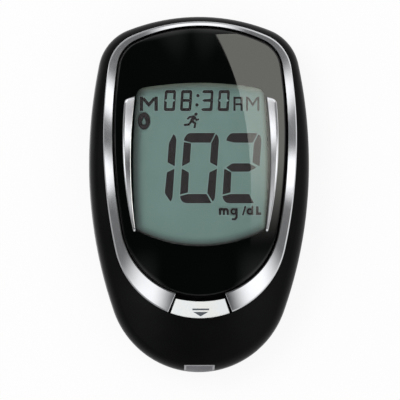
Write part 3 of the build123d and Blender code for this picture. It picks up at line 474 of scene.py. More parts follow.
def archHeight(crown, topCrown, across, along, x, y):
    drop = topCrown - crown
    reach = along - across + sqrt((across - drop) ** 2 - x * x)
    return crown - along + drop + sqrt(reach ** 2 - (y - skinValues["crownY"]) ** 2)


def lensHeight(crown, x, y):
    s = skinValues
    return archHeight(crown, s["lensCrown"], s["lensAcross"], s["lensAlong"], x, y)


def bodyHeight(inset, x, y):
    s = skinValues
    return archHeight(s["bodyCrown"] - inset, s["bodyCrown"], s["bodyAcross"], s["bodyAlong"], x, y)


def turnsOf(sides):
    return [2 * pi * k / sides for k in range(sides)]


def oval(middle, wide, tall, sides):
    return [(middle[0] + wide * cos(turn), middle[1] + tall * sin(turn)) for turn in turnsOf(sides)]


def blend(a, b, share):
    return tuple(p + (q - p) * share for p, q in zip(a, b))


def spread(middle, half, steps):
    # even spots across a width
    return [middle + half * (2 * k / steps - 1) for k in range(steps + 1)]


def evenly(start, end, steps):
    return [start + (end - start) * k / steps for k in range(steps + 1)]


# object and mesh helpers

def addObject(name, data):
    thing = bpy.data.objects.new(name, data)
    bpy.context.scene.collection.objects.link(thing)
    return thing


def addPiece(name, points, faces, material, body, replaced=(), sharp=30.0, second=None):
    # points in millimetres; second is (material, the faces' numbers that take it)
    mesh = bpy.data.meshes.new(name)
    mesh.from_pydata([(x * mm, y * mm, z * mm) for x, y, z in points], [], faces)
    mesh.materials.append(material)
    if second:
        mesh.materials.append(second[0])
        for number in second[1]:
            mesh.polygons[number].material_index = 1
    work = bmesh.new()
    work.from_mesh(mesh)
    bmesh.ops.recalc_face_normals(work, faces=work.faces)
    work.to_mesh(mesh)
    work.free()
    mesh.polygons.foreach_set("use_smooth", [True] * len(mesh.polygons))
    mesh.set_sharp_from_angle(angle=radians(sharp))
    mesh.update()
    piece = addObject(name, mesh)
    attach(piece, body)
    if replaced:
        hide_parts(*replaced)
    return piece


def loftFaces(rows, columns, closedRows, closedColumns, first=0):
    # quads between rows of equal length
    faces = []
    for r in range(rows if closedRows else rows - 1):
        for c in range(columns if closedColumns else columns - 1):
            here, above = first + r * columns, first + ((r + 1) % rows) * columns
            after = (c + 1) % columns
            faces.append((here + c, here + after, above + after, above + c))
    return faces


def tubeFaces(rows, columns, first=0):
    # closed rows one after the other, with a face at either end
    last = first + (rows - 1) * columns
    return loftFaces(rows, columns, False, True, first) + [tuple(range(first, first + columns)),
                                                           tuple(range(last, last + columns))]


def layPlate(points, faces, rows, low, high):
    # a thin closed plate over a grid of spots; low and high turn a spot into its lower and upper point
    first, columns = len(points), len(rows[0])
    for place in (low, high):
        points.extend(place(*spot) for row in rows for spot in row)
    count = len(rows) * columns
    under = loftFaces(len(rows), columns, False, False, first)
    faces.extend(under)
    faces.extend(tuple(i + count for i in face) for face in under)
    border = list(range(columns))
    border += [r * columns + columns - 1 for r in range(1, len(rows))]
    border += [(len(rows) - 1) * columns + c for c in range(columns - 2, -1, -1)]
    border += [r * columns for r in range(len(rows) - 2, 0, -1)]
    for k, a in enumerate(border):
        b = border[(k + 1) % len(border)]
        faces.append((first + a, first + b, first + b + count, first + a + count))


# lens: black outside the window, clear inside it

lensValues = dict(slip=0.5, thickness=1.6, edgeRound=0.16, edgeSteps=6, blackSteps=12, windowSteps=16,
                  backSteps=8, around=480, heartY=7.6, under=0.003)


def makeLens():
    v = lensValues
    around, heart = v["around"], (0.0, v["heartY"])
    outline, window = eggArcs(lensEgg), windowArcs()
    slip, bend = v["slip"], v["edgeRound"]
    points, faces, clear = [], [], set()

    def top(x, y):
        return lensHeight(skinValues["lensCrown"] - v["under"], x, y)

    def back(x, y):
        return lensHeight(skinValues["lensCrown"] - v["thickness"], x, y)

    def ringSpots(arcs, inset):
        return [rimPoint(arcs, inset, v["heartY"], angle) for angle in turnsOf(around)]

    def addRow(spots, height):
        points.extend((x, y, height(x, y)) for x, y in spots)

    def addRows(steps, height, start, goal, toGoal=True):
        # rows on the way to the goal; toGoal says whether the last one is laid
        for step in range(1, steps + toGoal):
            addRow([blend(p, q, step / steps) for p, q in zip(start, goal)], height)

    def closeSkin(height, first):
        # faces from the first row to the middle, clear inside the window's rim
        blackRows = (len(points) - first) // around
        addRows(v["windowSteps"], height, rim, [heart] * around, toGoal=False)
        start = len(faces)
        faces.extend(loftFaces((len(points) - first) // around, around, False, True, first))
        last, middle = len(points) - around, len(points)
        points.append((*heart, height(*heart)))
        faces.extend((last + i, last + (i + 1) % around, middle) for i in range(around))
        clear.update(range(start + (blackRows - 1) * around, len(faces)))

    edge, rim = ringSpots(outline, slip), ringSpots(window, 0.0)
    addRow(edge, back)
    for step in range(v["edgeSteps"] + 1):
        turn = pi / 2 * step / v["edgeSteps"]
        addRow(ringSpots(outline, slip + bend * (1 - cos(turn))),
               lambda x, y: top(x, y) - bend * (1 - sin(turn)))
    addRows(v["blackSteps"], top, ringSpots(outline, slip + bend), rim)
    closeSkin(top, 0)
    # the back hangs on the first row
    backStart = len(points)
    faces += [(i, (i + 1) % around, backStart + (i + 1) % around, backStart + i) for i in range(around)]
    addRows(v["backSteps"], back, edge, rim)
    closeSkin(back, backStart)
    return addPiece("displayLens", points, faces, finish["pianoBlack"], "meter",
                    ["display_lens"], sharp=50.0, second=(finish["windowClear"], clear))


makeLens()
print("meter: lens made")


# bezel: a plated ring, open at the bottom for the button

ringValues = dict(stand=0.35, split=21.7, around=760, outerBevel=(0.34, 0.10), innerBevel=(0.30, 0.46),
                  outerCrease=(0.04, 0.06), innerCrease=(0.03, 0.05, 0.03), flatSteps=4, wall=1.4,
                  endTurn=0.35, endDrop=0.10, low=12.0)


def makeRing():
    v = ringValues
    outer, inner = eggArcs(ringEgg), eggArcs(lensEgg)
    heartY = outer[-1][1]
    start = radians(v["split"] - 90)
    sweep = 2 * pi - 2 * radians(v["split"])
    (outIn, outDown), (inIn, inDown) = v["outerBevel"], v["innerBevel"]
    (outSide, outEase), (inSide, inRise, inEase) = v["outerCrease"], v["innerCrease"]
    nudge = radians(v["endTurn"])
    angles = [start] + [start + nudge + (sweep - 2 * nudge) * i / v["around"] for i in range(v["around"] + 1)]
    angles.append(start + sweep)
    points = []
    for angle in angles:
        sink = v["endDrop"] if angle in (angles[0], angles[-1]) else 0.0
        out = rimPoint(outer, 0.0, heartY, angle)
        into = rimPoint(inner, 0.0, heartY, angle)
        width = hypot(into[0] - out[0], into[1] - out[1])

        def at(distance, drop):
            x, y = blend(out, into, distance / width)
            return x, y, bodyHeight(-v["stand"], x, y) - drop - sink

        flat = width - outIn - inIn
        section = [(*out, v["low"]), at(0.0, v["wall"]), at(0.0, outDown + outEase), at(outSide, outDown),
                   at(outIn, 0.0)]
        section += [at(outIn + flat * step / v["flatSteps"], 0.0) for step in range(1, v["flatSteps"])]
        section += [at(width - inIn, 0.0), at(width - inSide, inDown - inRise), at(width, inDown + inEase),
                    at(width, v["wall"]), (*into, v["low"])]
        points += section
    columns = len(section)
    faces = loftFaces(len(angles), columns, False, True)
    faces.append(tuple(range(columns)))
    faces.append(tuple(range(len(points) - 1, len(points) - 1 - columns, -1)))
    return addPiece("bezelRing", points, faces, finish["satinChrome"], "meter",
                    ["bezel_ring"], sharp=8.0)


makeRing()
print("meter: bezel made")


# accents: two slim plated crescents on the lens

accentValues = dict(innerX=17.2, innerY=8.3, innerRadius=123.0, outerX=19.15, outerY=13.5, outerRadius=97.0,
                    top=24.15, slant=0.5, corner=1.3, foot=-9.0, thickness=0.45, bond=0.02, bevel=0.15,
                    tilt=0.30, fullWidth=1.9, steps=90, crowding=1.7, leastHeight=0.02, innerEase=0.3,
                    outerEase=0.2, outerEdge=0.5, flatAt=(0.4, 0.7))


def makeAccent(name, side, replaced, shift):
    v = accentValues
    bevel, foot = v["bevel"], v["foot"]
    ease = bevel * v["innerEase"]
    innerTop, outerTop = v["top"], v["top"] - v["slant"]
    low = skinValues["lensCrown"] + v["bond"]
    crown = low + v["thickness"]

    def edgeX(which, y):
        middleX, middleY, radius = (v[which + part] for part in ("X", "Y", "Radius"))
        return middleX - radius + sqrt(radius ** 2 - (y - middleY) ** 2) + shift

    def outerX(y):
        # the outer corner at the top is rounded
        over = min(max(0.0, y - (outerTop - v["corner"])), v["corner"])
        return edgeX("outer", y) - v["corner"] + sqrt(v["corner"] ** 2 - over ** 2)

    def section(share, inset):
        # across the crescent from its inner to its outer edge, as (distance, depth under the top)
        yIn, yOut = foot + (innerTop - foot) * share, foot + (outerTop - foot) * share
        a, b = (edgeX("inner", yIn), yIn), (outerX(yOut), yOut)
        width = hypot(b[0] - a[0], b[1] - a[1])
        edges = [(inset, None), (inset, bevel), (inset + bevel / 2, ease), (inset + bevel, 0.0)]
        edges += [(width * share, 0.0) for share in v["flatAt"]]
        edges += [(width - inset - bevel, 0.0), (width - inset - bevel / 2, bevel * v["outerEase"]),
                  (width - inset, bevel * v["outerEdge"]), (width - inset, None)]
        row = []
        for distance, down in edges:
            x, y = blend(a, b, distance / width)
            z = lensHeight(low, x, y)
            if down is not None:
                rise = lensHeight(crown, x, y) - down - inset - v["tilt"] * distance / v["fullWidth"]
                z = max(z + v["leastHeight"], rise)
            row.append((side * x, y, z))
        return row

    step = bevel / (innerTop - foot)
    rows = [section(0.0, bevel), section(step, ease)]
    rows += [section(2 * step + (1 - 4 * step) * (1 - (1 - i / v["steps"]) ** v["crowding"]), 0.0)
             for i in range(v["steps"] + 1)]
    rows += [section(1 - step, ease), section(1.0, bevel)]
    return addPiece(name, [point for row in rows for point in row], tubeFaces(len(rows), len(rows[0])),
                    finish["satinChrome"], "meter", [replaced], sharp=25.0)


makeAccent("leftAccent", side=-1, replaced="left_accent", shift=-0.15)
makeAccent("rightAccent", side=1, replaced="right_accent", shift=0.0)
print("meter: accents made")


# release button, its spring and its mark

buttonValues = dict(split=19.9, innerRadius=17.2, innerFlat=0.35, stand=0.35, thickness=1.2, bevel=0.30,
                    bevelDrop=0.24, lip=[(0.55, 0.10), (0.2, 0.5), (0.0, 1.0), (0.0, None)], across=56,
                    along=10, padHalf=1.6, padHeight=0.45, stemRadius=0.9, stemSides=24,
                    stemTip=[(0.88, 1.0), (0.4, 0.85), (0.12, 0.5), (0.0, 0.1)], legX=4.3, legWidth=1.2,
                    legDepth=1.5, legTop=14.7)
pressValues = dict(stemY=-28.174, stemFoot=10.75, seatZ=14.42, legFoot=10.42)


def addBox(points, faces, x, y, z):
    a, b, c, d, e, f, g, h = range(len(points), len(points) + 8)
    for level in z:
        points += [(x[0], y[0], level), (x[1], y[0], level), (x[1], y[1], level), (x[0], y[1], level)]
    faces += [(a, b, c, d), (e, f, g, h), (a, b, f, e), (b, c, g, f), (c, d, h, g), (d, a, e, h)]


def makeButton():
    v, p = buttonValues, pressValues
    heartY, outerRadius = eggArcs(ringEgg)[-1][1:3]
    across, along, stemY = v["across"], v["along"], p["stemY"]
    underside = v["thickness"] - v["stand"]
    points, faces = [], []

    def spot(i, j, inset):
        # a place on the plate, i across and j along it, with the rim moved inwards
        u, w = i / across, j / along
        near = v["innerRadius"] + v["innerFlat"] * (2 * u - 1) ** 2
        radius = near + inset + w * (outerRadius - near - 2 * inset)
        half = radians(v["split"]) - asin(inset / radius)
        turn = -pi / 2 + (2 * u - 1) * half
        return radius * cos(turn), heartY + radius * sin(turn)

    def addPoint(i, j, inset, drop):
        # drop None is the underside
        x, y = spot(i, j, inset)
        z = bodyHeight(underside, x, y) if drop is None else bodyHeight(-v["stand"], x, y) - drop
        points.append((x, y, z))

    for j in range(along + 1):
        for i in range(across + 1):
            addPoint(i, j, v["bevel"], 0.0)
    faces += loftFaces(along + 1, across + 1, False, False)
    rim = [(i, 0) for i in range(across)] + [(across, j) for j in range(along)]
    rim += [(across - i, along) for i in range(across)] + [(0, along - j) for j in range(along)]
    previous = [j * (across + 1) + i for i, j in rim]
    for inset, drop in v["lip"]:
        row = list(range(len(points), len(points) + len(rim)))
        for i, j in rim:
            addPoint(i, j, v["bevel"] * inset, None if drop is None else drop * v["bevelDrop"])
        for k in range(len(rim)):
            n = (k + 1) % len(rim)
            faces.append((previous[k], previous[n], row[n], row[k]))
        previous = row
    first = len(points)
    for j in range(1, along):
        for i in range(1, across):
            addPoint(i, j, 0.0, None)

    def under(i, j):
        if 0 < i < across and 0 < j < along:
            return first + (j - 1) * (across - 1) + i - 1
        return previous[rim.index((i, j))]

    for j in range(along):
        for i in range(across):
            faces.append((under(i, j), under(i + 1, j), under(i + 1, j + 1), under(i, j + 1)))
    # pad, the two snap legs and the stem under the plate
    addBox(points, faces, (-v["padHalf"], v["padHalf"]), (stemY - v["padHalf"], stemY + v["padHalf"]),
           (p["seatZ"], p["seatZ"] + v["padHeight"]))
    for side in (-1, 1):
        ends = sorted(side * (v["legX"] + half) for half in (-v["legWidth"] / 2, v["legWidth"] / 2))
        addBox(points, faces, ends, (stemY - v["legDepth"] / 2, stemY + v["legDepth"] / 2),
               (p["legFoot"], v["legTop"]))
    sides = v["stemSides"]
    rings = [(p["seatZ"], 1.0)] + [(p["stemFoot"] + rise, share) for rise, share in v["stemTip"]]
    first = len(points)
    for z, share in rings:
        reach = share * v["stemRadius"]
        points += [(x, y, z) for x, y in oval((0.0, stemY), reach, reach, sides)]
    faces += tubeFaces(len(rings), sides, first)
    return addPiece("releaseButton", points, faces, finish["buttonSilver"], "release_button",
                    ["release_button"], sharp=28.0)


springValues = dict(wire=0.12, radius=1.45, turns=3.0, length=2.5, gap=0.02, stepsPerTurn=36, sides=10,
                    keep=0.46)


def makeSpring():
    # the button's return spring, at its resting length
    v, p = springValues, pressValues
    foot = p["seatZ"] - v["length"]
    low, rise = foot + v["wire"] + v["gap"], v["length"] - 2 * v["wire"] - 2 * v["gap"]
    steps = round(v["turns"] * v["stepsPerTurn"])
    points = []
    for i in range(steps + 1):
        turn = 2 * pi * v["turns"] * i / steps
        for reach, up in oval((v["radius"], low + rise * i / steps), v["wire"], v["wire"], v["sides"]):
            points.append((reach * cos(turn), p["stemY"] + reach * sin(turn), up))
    spring = addPiece("buttonSpring", points, tubeFaces(steps + 1, v["sides"]), finish["springSteel"],
                      "meter", ["button_spring"], sharp=60.0)
    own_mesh(spring)


markValues = dict(middleX=0.08, barHalf=2.05, barTop=-27.82, barBottom=-28.22, triangleHalf=1.8,
                  triangleTop=-28.66, triangleFoot=-29.72, tipHalf=0.03, rowSteps=6, columnSteps=12,
                  lift=0.004, thickness=0.03)


def makeReleaseMark():
    # a bar over a triangle, printed on the button
    v = markValues
    points, faces = [], []

    def atHeight(lift):
        return lambda x, y: (x, y, bodyHeight(-buttonValues["stand"], x, y) + lift)

    def row(half, y):
        return [(x, y) for x in spread(v["middleX"], half, v["columnSteps"])]

    low, high = atHeight(v["lift"]), atHeight(v["lift"] + v["thickness"])
    layPlate(points, faces, [row(v["barHalf"], v["barTop"]), row(v["barHalf"], v["barBottom"])], low, high)
    rows = [row(v["triangleHalf"] * (1 - share) + v["tipHalf"],
                v["triangleTop"] + (v["triangleFoot"] - v["triangleTop"]) * share)
            for share in evenly(0.0, 1.0, v["rowSteps"])]
    layPlate(points, faces, rows, low, high)
    return addPiece("releaseMark", points, faces, finish["markSlate"], "release_button",
                    sharp=40.0)


makeButton()
makeSpring()
makeReleaseMark()
print("meter: release button made")


# marks on the three keys in the top end, and a painted highlight on the strip port

keyMarkValues = dict(height=7.2, half=1.05, width=0.42, steps=14, depth=0.01, sideLift=0.012,
                     middleLift=0.002, arc=50.0, ringRadius=0.95, sideX=10.6, fromY=60.0)
portHighlightValues = dict(half=3.73, endWidth=0.5, lipY=(-42.04, -41.84), endY=(-43.3, -41.84), lift=0.02,
                  depth=0.03, columns=12, rows=6, fromZ=30.0)


def onSurface(node, start, way):
    # where a line meets a carried-over piece, in millimetres
    met, spot, _, _ = node.ray_cast(Vector(start) * mm, Vector(way))
    return tuple(spot / mm) if met else start


def makeKeyMark(name, nodeName, middleX, bars, arcs, lift):
    v = keyMarkValues
    node = frame["nodes"][nodeName]
    points, faces = [], []

    def atDepth(out):
        def place(x, z):
            spot = onSurface(node, (middleX + x, v["fromY"], v["height"] + z), (0, -1, 0))
            return spot[0], spot[1] + out, spot[2]
        return place

    low, high = atDepth(-v["depth"]), atDepth(lift)
    for halfX, halfZ in bars:
        rows = [[(x, z) for x in spread(0.0, halfX, v["steps"])] for z in (-halfZ, halfZ)]
        layPlate(points, faces, rows, low, high)
    for middle in arcs:
        turns = [radians(turn) for turn in spread(middle, v["arc"], v["steps"])]
        rows = [[(radius * cos(turn), radius * sin(turn)) for turn in turns]
                for radius in (v["ringRadius"] - v["width"] / 2, v["ringRadius"] + v["width"] / 2)]
        layPlate(points, faces, rows, low, high)
    return addPiece(name, points, faces, finish["markWhite"], nodeName, sharp=40.0)


def makePortPaintedHighlight():
    # painted highlights: a pale lip and two pale ends laid on top of the port's upper jaw
    v = portHighlightValues
    node = frame["nodes"]["port_upper_jaw"]
    points, faces = [], []

    def atHeight(up):
        def place(x, y):
            spot = onSurface(node, (x, y, v["fromZ"]), (0, 0, -1))
            return spot[0], spot[1], spot[2] + up
        return place

    low, high = atHeight(-v["depth"]), atHeight(v["lift"])
    far, near = v["half"], v["half"] - v["endWidth"]
    for left, right, (foot, top) in ((-near, near, v["lipY"]), (-far, -near, v["endY"]),
                                     (near, far, v["endY"])):
        rows = [[(x, y) for x in evenly(left, right, v["columns"])] for y in evenly(foot, top, v["rows"])]
        layPlate(points, faces, rows, low, high)
    return addPiece("portTrim", points, faces, finish["paintedHighlightGrey"], "meter", sharp=40.0)


def makeKeyMarks():
    v = keyMarkValues
    level, upright = (v["half"], v["width"] / 2), (v["width"] / 2, v["half"])
    makeKeyMark("minusMark", "minus_key", -v["sideX"], [level], [], v["sideLift"])
    makeKeyMark("plusMark", "plus_key", v["sideX"], [level, upright], [], v["sideLift"])
    makeKeyMark("setMark", "set_key", 0.0, [], [0.0, 180.0], v["middleLift"])


bpy.context.view_layer.update()
makeKeyMarks()
makePortPaintedHighlight()
print("meter: key marks and painted port highlight made")


# display: everything that the glass shows

displayValues = dict(faceZ=12.7, rimLift=0.005, lift=0.05, thickness=0.02, rim=0.15, sharpestGrown=0.35,
                     sharpestStroke=0.4)


def wayTo(a, b):
    # the direction from a to b, one long
    dx, dy = b[0] - a[0], b[1] - a[1]
    return dx / hypot(dx, dy), dy / hypot(dx, dy)


def grown(corners, by):
    # a convex outline moved outwards
    area = sum(a[0] * b[1] - b[0] * a[1] for a, b in zip(corners, corners[1:] + corners[:1]))
    if area < 0:
        corners = corners[::-1]
    result = []
    for before, here, after in zip(corners[-1:] + corners[:-1], corners, corners[1:] + corners[:1]):
        (x1, y1), (x2, y2) = wayTo(before, here), wayTo(here, after)
        bend = max(displayValues["sharpestGrown"], 1 + y1 * y2 + x1 * x2)
        result.append((here[0] + by * (y1 + y2) / bend, here[1] - by * (x1 + x2) / bend))
    return result


class FlatShapes:
    # collects flat closed shapes and gives them the thickness of a film
    def __init__(self):
        self.shapes = []

    def polygon(self, corners):
        self.shapes.append([tuple(corner) for corner in corners])

    def stroke(self, path, width, closed=False):
        # a band of even width along a path, with mitred corners
        count = len(path)
        left, right = [], []
        for i, (x, y) in enumerate(path):
            ways = []
            if i or closed:
                ways.append(wayTo(path[i - 1], (x, y)))
            if i < count - 1 or closed:
                ways.append(wayTo((x, y), path[(i + 1) % count]))
            nx = sum(-dy for dx, dy in ways)
            ny = sum(dx for dx, dy in ways)
            size = hypot(nx, ny)
            nx, ny = nx / size, ny / size
            reach = width / 2 / max(displayValues["sharpestStroke"], nx * -ways[0][1] + ny * ways[0][0])
            left.append((x + nx * reach, y + ny * reach))
            right.append((x - nx * reach, y - ny * reach))
        for i in range(count if closed else count - 1):
            j = (i + 1) % count
            self.polygon([left[i], left[j], right[j], right[i]])

    def strokes(self, paths):
        for width, path in paths:
            self.stroke(path, width)

    def film(self, name, shapes, lift, material):
        low = displayValues["faceZ"] + lift
        high = low + displayValues["thickness"]
        points, faces = [], []
        for shape in shapes:
            first, count = len(points), len(shape)
            points.extend((x, y, low) for x, y in shape)
            points.extend((x, y, high) for x, y in shape)
            faces.append(tuple(range(first, first + count)))
            faces.append(tuple(range(first + count, first + 2 * count)))
            for k in range(count):
                n = (k + 1) % count
                faces.append((first + k, first + n, first + count + n, first + count + k))
        return addPiece(name, points, faces, material, "meter", sharp=20.0)

    def piece(self, name):
        # the ink, and a painted light halo around it: the pale rim that the lit glass shows
        d = displayValues
        self.film(name + "Rim", [grown(shape, d["rim"]) for shape in self.shapes], d["rimLift"],
                  finish["paintedInkHalo"])
        return self.film(name, self.shapes, d["lift"], finish["segmentInk"])


segmentsOfDigit = {"0": "abcdef", "1": "bc", "2": "abged", "3": "abgcd", "8": "abcdefg"}
digitValues = dict(width=8.62, height=17.21, middleRise=0.14)


def segmentCorners():
    # a digit from its lower left corner at (0, 0): segment a on top, then clockwise, g in the middle
    right, top = digitValues["width"], digitValues["height"]
    middle = top / 2 + digitValues["middleRise"]
    return {
        "a": [(0, top - 1.86), (0.2, top - 1.1), (0.65, top - 0.4), (1.3, top), (right - 1.03, top),
              (right - 2.03, top - 2.39), (1.94, top - 2.39)],
        "b": [(right - 0.84, top - 0.24), (right - 0.32, top - 0.75), (right, top - 1.69),
              (right, middle + 0.28), (right - 1.85, middle + 1.27), (right - 1.83, top - 2.55)],
        "c": [(right, middle - 0.25), (right, 1.65), (right - 0.12, 0.95), (right - 0.49, 0.4),
              (right - 2.0, 2.5), (right - 1.83, middle - 1.2)],
        "d": [(0, 1.76), (0.15, 1.2), (0.5, 0.62), (1.0, 0.18), (1.7, 0), (right - 0.74, 0),
              (right - 2.13, 2.29), (1.92, 2.29)],
        "e": [(0, middle - 0.25), (1.84, middle - 1.2), (1.93, 2.64), (0, 2.11)],
        "f": [(0.05, top - 2.21), (1.88, top - 2.57), (1.88, middle + 1.27), (0, middle + 0.28)],
        "g": [(0.42, middle), (1.93, middle + 1.05), (right - 2.6, middle + 1.05), (right - 0.7, middle),
              (right - 2.57, middle - 1.02), (1.9, middle - 1.02)],
    }


readingValues = dict(top=15.14, bottom=-2.07, width=8.62, slant=0.068, bold=0.0, colon=[], dot=0.0,
                     digits=[("1", -15.39), ("0", -5.01), ("2", 5.36)])
timeValues = dict(top=25.58, bottom=20.51, width=2.68, slant=0.06, bold=0.045,
                  colon=[(-0.49, 24.25), (-0.71, 21.99)], dot=0.42, dotSides=24,
                  digits=[("0", -8.82), ("8", -4.85), ("3", 0.33), ("0", 4.33)])


def makeDigits(name, v):
    # a row of segment digits, each with its left edge, and the dots of a colon
    shapes = FlatShapes()
    across = v["width"] / digitValues["width"]
    along = (v["top"] - v["bottom"]) / digitValues["height"]
    corners = segmentCorners()
    for digit, left in v["digits"]:
        for segment in segmentsOfDigit[digit]:
            outline = [(left + x * across + y * along * v["slant"], v["bottom"] + y * along)
                       for x, y in corners[segment]]
            shapes.polygon(grown(outline, v["bold"]))
    for spot in v["colon"]:
        shapes.polygon(oval(spot, v["dot"], v["dot"], v["dotSides"]))
    return shapes.piece(name)


hourMarkValues = dict(foot=20.51, dip=0.42, slopeWidth=0.9,
                      memory=dict(left=-14.7, right=-10.25, top=24.03, width=0.85),
                      noonM=dict(left=11.23, right=14.55, top=24.05, width=0.56),
                      noonA=dict(left=8.43, right=10.18, top=23.75, width=0.56),
                      barOfA=(0.54, [(8.75, 22.15), (9.9, 22.15)]))


def letterM(shapes, left, right, top, width):
    v = hourMarkValues
    bottom, half = v["foot"], width / 2
    shapes.stroke([(left + half, bottom), (left + half, top)], width)
    shapes.stroke([(right - half, bottom), (right - half, top)], width)
    dip = bottom + (top - bottom) * v["dip"]
    shapes.stroke([(left + width, top - half), ((left + right) / 2, dip), (right - width, top - half)],
                  width * v["slopeWidth"])


def makeHourMarks():
    # M for memory, and AM
    v, a = hourMarkValues, hourMarkValues["noonA"]
    shapes = FlatShapes()
    letterM(shapes, **v["memory"])
    shapes.strokes([(a["width"], [(a["left"], v["foot"]), (a["left"], a["top"]), (a["right"], a["top"]),
                                  (a["right"], v["foot"])]), v["barOfA"]])
    letterM(shapes, **v["noonM"])
    return shapes.piece("hourMarks")


badgeValues = dict(middle=(-13.66, 18.05), wide=1.45, tall=2.02, sides=40, dropWide=0.55, dropDown=0.35,
                   dropFoot=0.6, dropTip=1.45, pinch=0.55)


def makeDropBadge():
    # an oval badge with a drop left open in it
    v = badgeValues
    shapes = FlatShapes()
    middle, sides = v["middle"], v["sides"]
    outer = oval(middle, v["wide"], v["tall"], sides)
    drop = []
    for turn in turnsOf(sides):
        pinch = (1.0 - max(0.0, sin(turn))) ** v["pinch"]
        tall = v["dropFoot"] if turn > pi else v["dropTip"]
        drop.append((middle[0] + v["dropWide"] * pinch * cos(turn),
                     middle[1] - v["dropDown"] + tall * sin(turn)))
    for k in range(sides):
        n = (k + 1) % sides
        shapes.polygon([outer[k], outer[n], drop[n], drop[k]])
    return shapes.piece("dropBadge")


# a small running figure: its head, and trunk, arms and legs as (width, path)
runnerValues = dict(head=(-0.95, 19.72), headRadius=0.42, headSides=24,
                    limbs=[(0.82, [(-1.35, 19.2), (-2.05, 18.0)]),
                           (0.48, [(-1.35, 19.1), (-2.5, 19.05), (-3.1, 18.45)]),
                           (0.48, [(-1.3, 18.95), (-0.85, 18.3), (-0.2, 18.5)]),
                           (0.56, [(-2.0, 18.1), (-1.15, 17.45), (-1.35, 16.3)]),
                           (0.56, [(-2.05, 18.05), (-2.7, 17.2), (-3.95, 17.05)])])


def makeRunner():
    v = runnerValues
    shapes = FlatShapes()
    shapes.polygon(oval(v["head"], v["headRadius"], v["headRadius"], v["headSides"]))
    shapes.strokes(v["limbs"])
    return shapes.piece("runnerMark")


# the strokes of the unit as (kind, path), or for a bowl (kind, its middle across and half its width)
unitValues = dict(lineWidth=0.66, share=dict(line=1.0, arch=0.85, bowl=0.62, slash=0.7, stem=0.75),
                  bowlY=-4.08, bowlTall=0.6, bowlSides=20,
                  strokes=[("line", [(4.9, -4.95), (4.9, -3.25)]),
                           ("arch", [(4.9, -3.9), (5.15, -3.5), (5.6, -3.5), (5.85, -3.85), (5.85, -4.95)]),
                           ("arch", [(5.85, -3.9), (6.1, -3.5), (6.5, -3.5), (6.8, -3.85), (6.8, -4.95)]),
                           ("bowl", (8.22, 0.55)),
                           ("arch", [(8.95, -3.25), (8.95, -5.5), (8.6, -5.98), (7.75, -5.95)]),
                           ("slash", [(10.45, -5.05), (11.15, -2.7)]),
                           ("bowl", (12.17, 0.52)),
                           ("stem", [(12.82, -4.95), (12.82, -2.62)]),
                           ("line", [(14.0, -2.78), (14.0, -4.62), (15.0, -4.62)])])


def makeUnits():
    # mg/dL in plain strokes
    v = unitValues
    shapes = FlatShapes()
    for kind, path in v["strokes"]:
        closed = kind == "bowl"
        if closed:
            path = oval((path[0], v["bowlY"]), path[1], v["bowlTall"], v["bowlSides"])
        shapes.stroke(path, v["lineWidth"] * v["share"][kind], closed)
    return shapes.piece("unitLettering")


makeDigits("readingDigits", readingValues)
makeDigits("timeDigits", timeValues)
makeHourMarks()
makeDropBadge()
makeRunner()
makeUnits()
print("meter: display made")


# camera, almost straight above

viewValues = dict(aim=(0.25, -1.28, 8.0), distance=1094.0, turn=2.5, frameWidth=98.5, sensor=36.0,
                  farthest=50.0)


def makeCamera():
    v = viewValues
    data = bpy.data.cameras.new("viewCamera")
    data.sensor_width = v["sensor"]
    data.lens = v["sensor"] * v["distance"] / v["frameWidth"]
    data.clip_end = v["farthest"]
    camera = addObject("viewCamera", data)
    turn, (x, y, z) = radians(v["turn"]), v["aim"]
    camera.location = ((x - v["distance"] * sin(turn)) * mm, y * mm, (z + v["distance"] * cos(turn)) * mm)
    camera.rotation_euler = (0.0, -turn, 0.0)
    bpy.context.scene.camera = camera


makeCamera()


# floor

floorValues = dict(half=3.0, z=-0.00005, tone=(0.97, 0.97, 0.97), roughness=0.9, glow=0.9, near=0.0012)


def makeFloor():
    # white to the camera and to reflections; rays shorter than near pass it, so what rests on it isn't black
    v = floorValues
    half = v["half"]
    mesh = bpy.data.meshes.new("studioFloor")
    corners = [(-half, -half, 0), (half, -half, 0), (half, half, 0), (-half, half, 0)]
    mesh.from_pydata(corners, [], [(0, 1, 2, 3)])
    floor = addObject("studioFloor", mesh)
    floor.location.z = v["z"]
    material, tree, shader = startMaterial("floorWhite")
    feed(tree, shader, {"Base Color": rgba(v["tone"]), "Roughness": v["roughness"],
                        "Specular IOR Level": 0.0})
    paths = addNode(tree, "ShaderNodeLightPath").outputs
    seen = mathOf(tree, "MAXIMUM", paths["Is Camera Ray"], paths["Is Glossy Ray"])
    glow = addNode(tree, "ShaderNodeEmission").outputs[0]
    white = mixShaders(tree, mathOf(tree, "MULTIPLY", seen, v["glow"]), shader.outputs[0], glow)
    behind = addNode(tree, "ShaderNodeNewGeometry").outputs["Backfacing"]
    through = mathOf(tree, "MAXIMUM", behind, mathOf(tree, "LESS_THAN", paths["Ray Length"], v["near"]))
    clear = addNode(tree, "ShaderNodeBsdfTransparent").outputs[0]
    feed(tree, tree.nodes["Material Output"], {"Surface": mixShaders(tree, through, white, clear)})
    mesh.materials.append(material)


# world: an even day, and what reflections see, which is bright at the horizon and dark overhead

worldValues = dict(dayLevel=0.80, horizon=(12.0, 45.0), overhead=(44.0, 64.0), haze=0.22, leftLow=0.55,
                   turnOver=0.6)

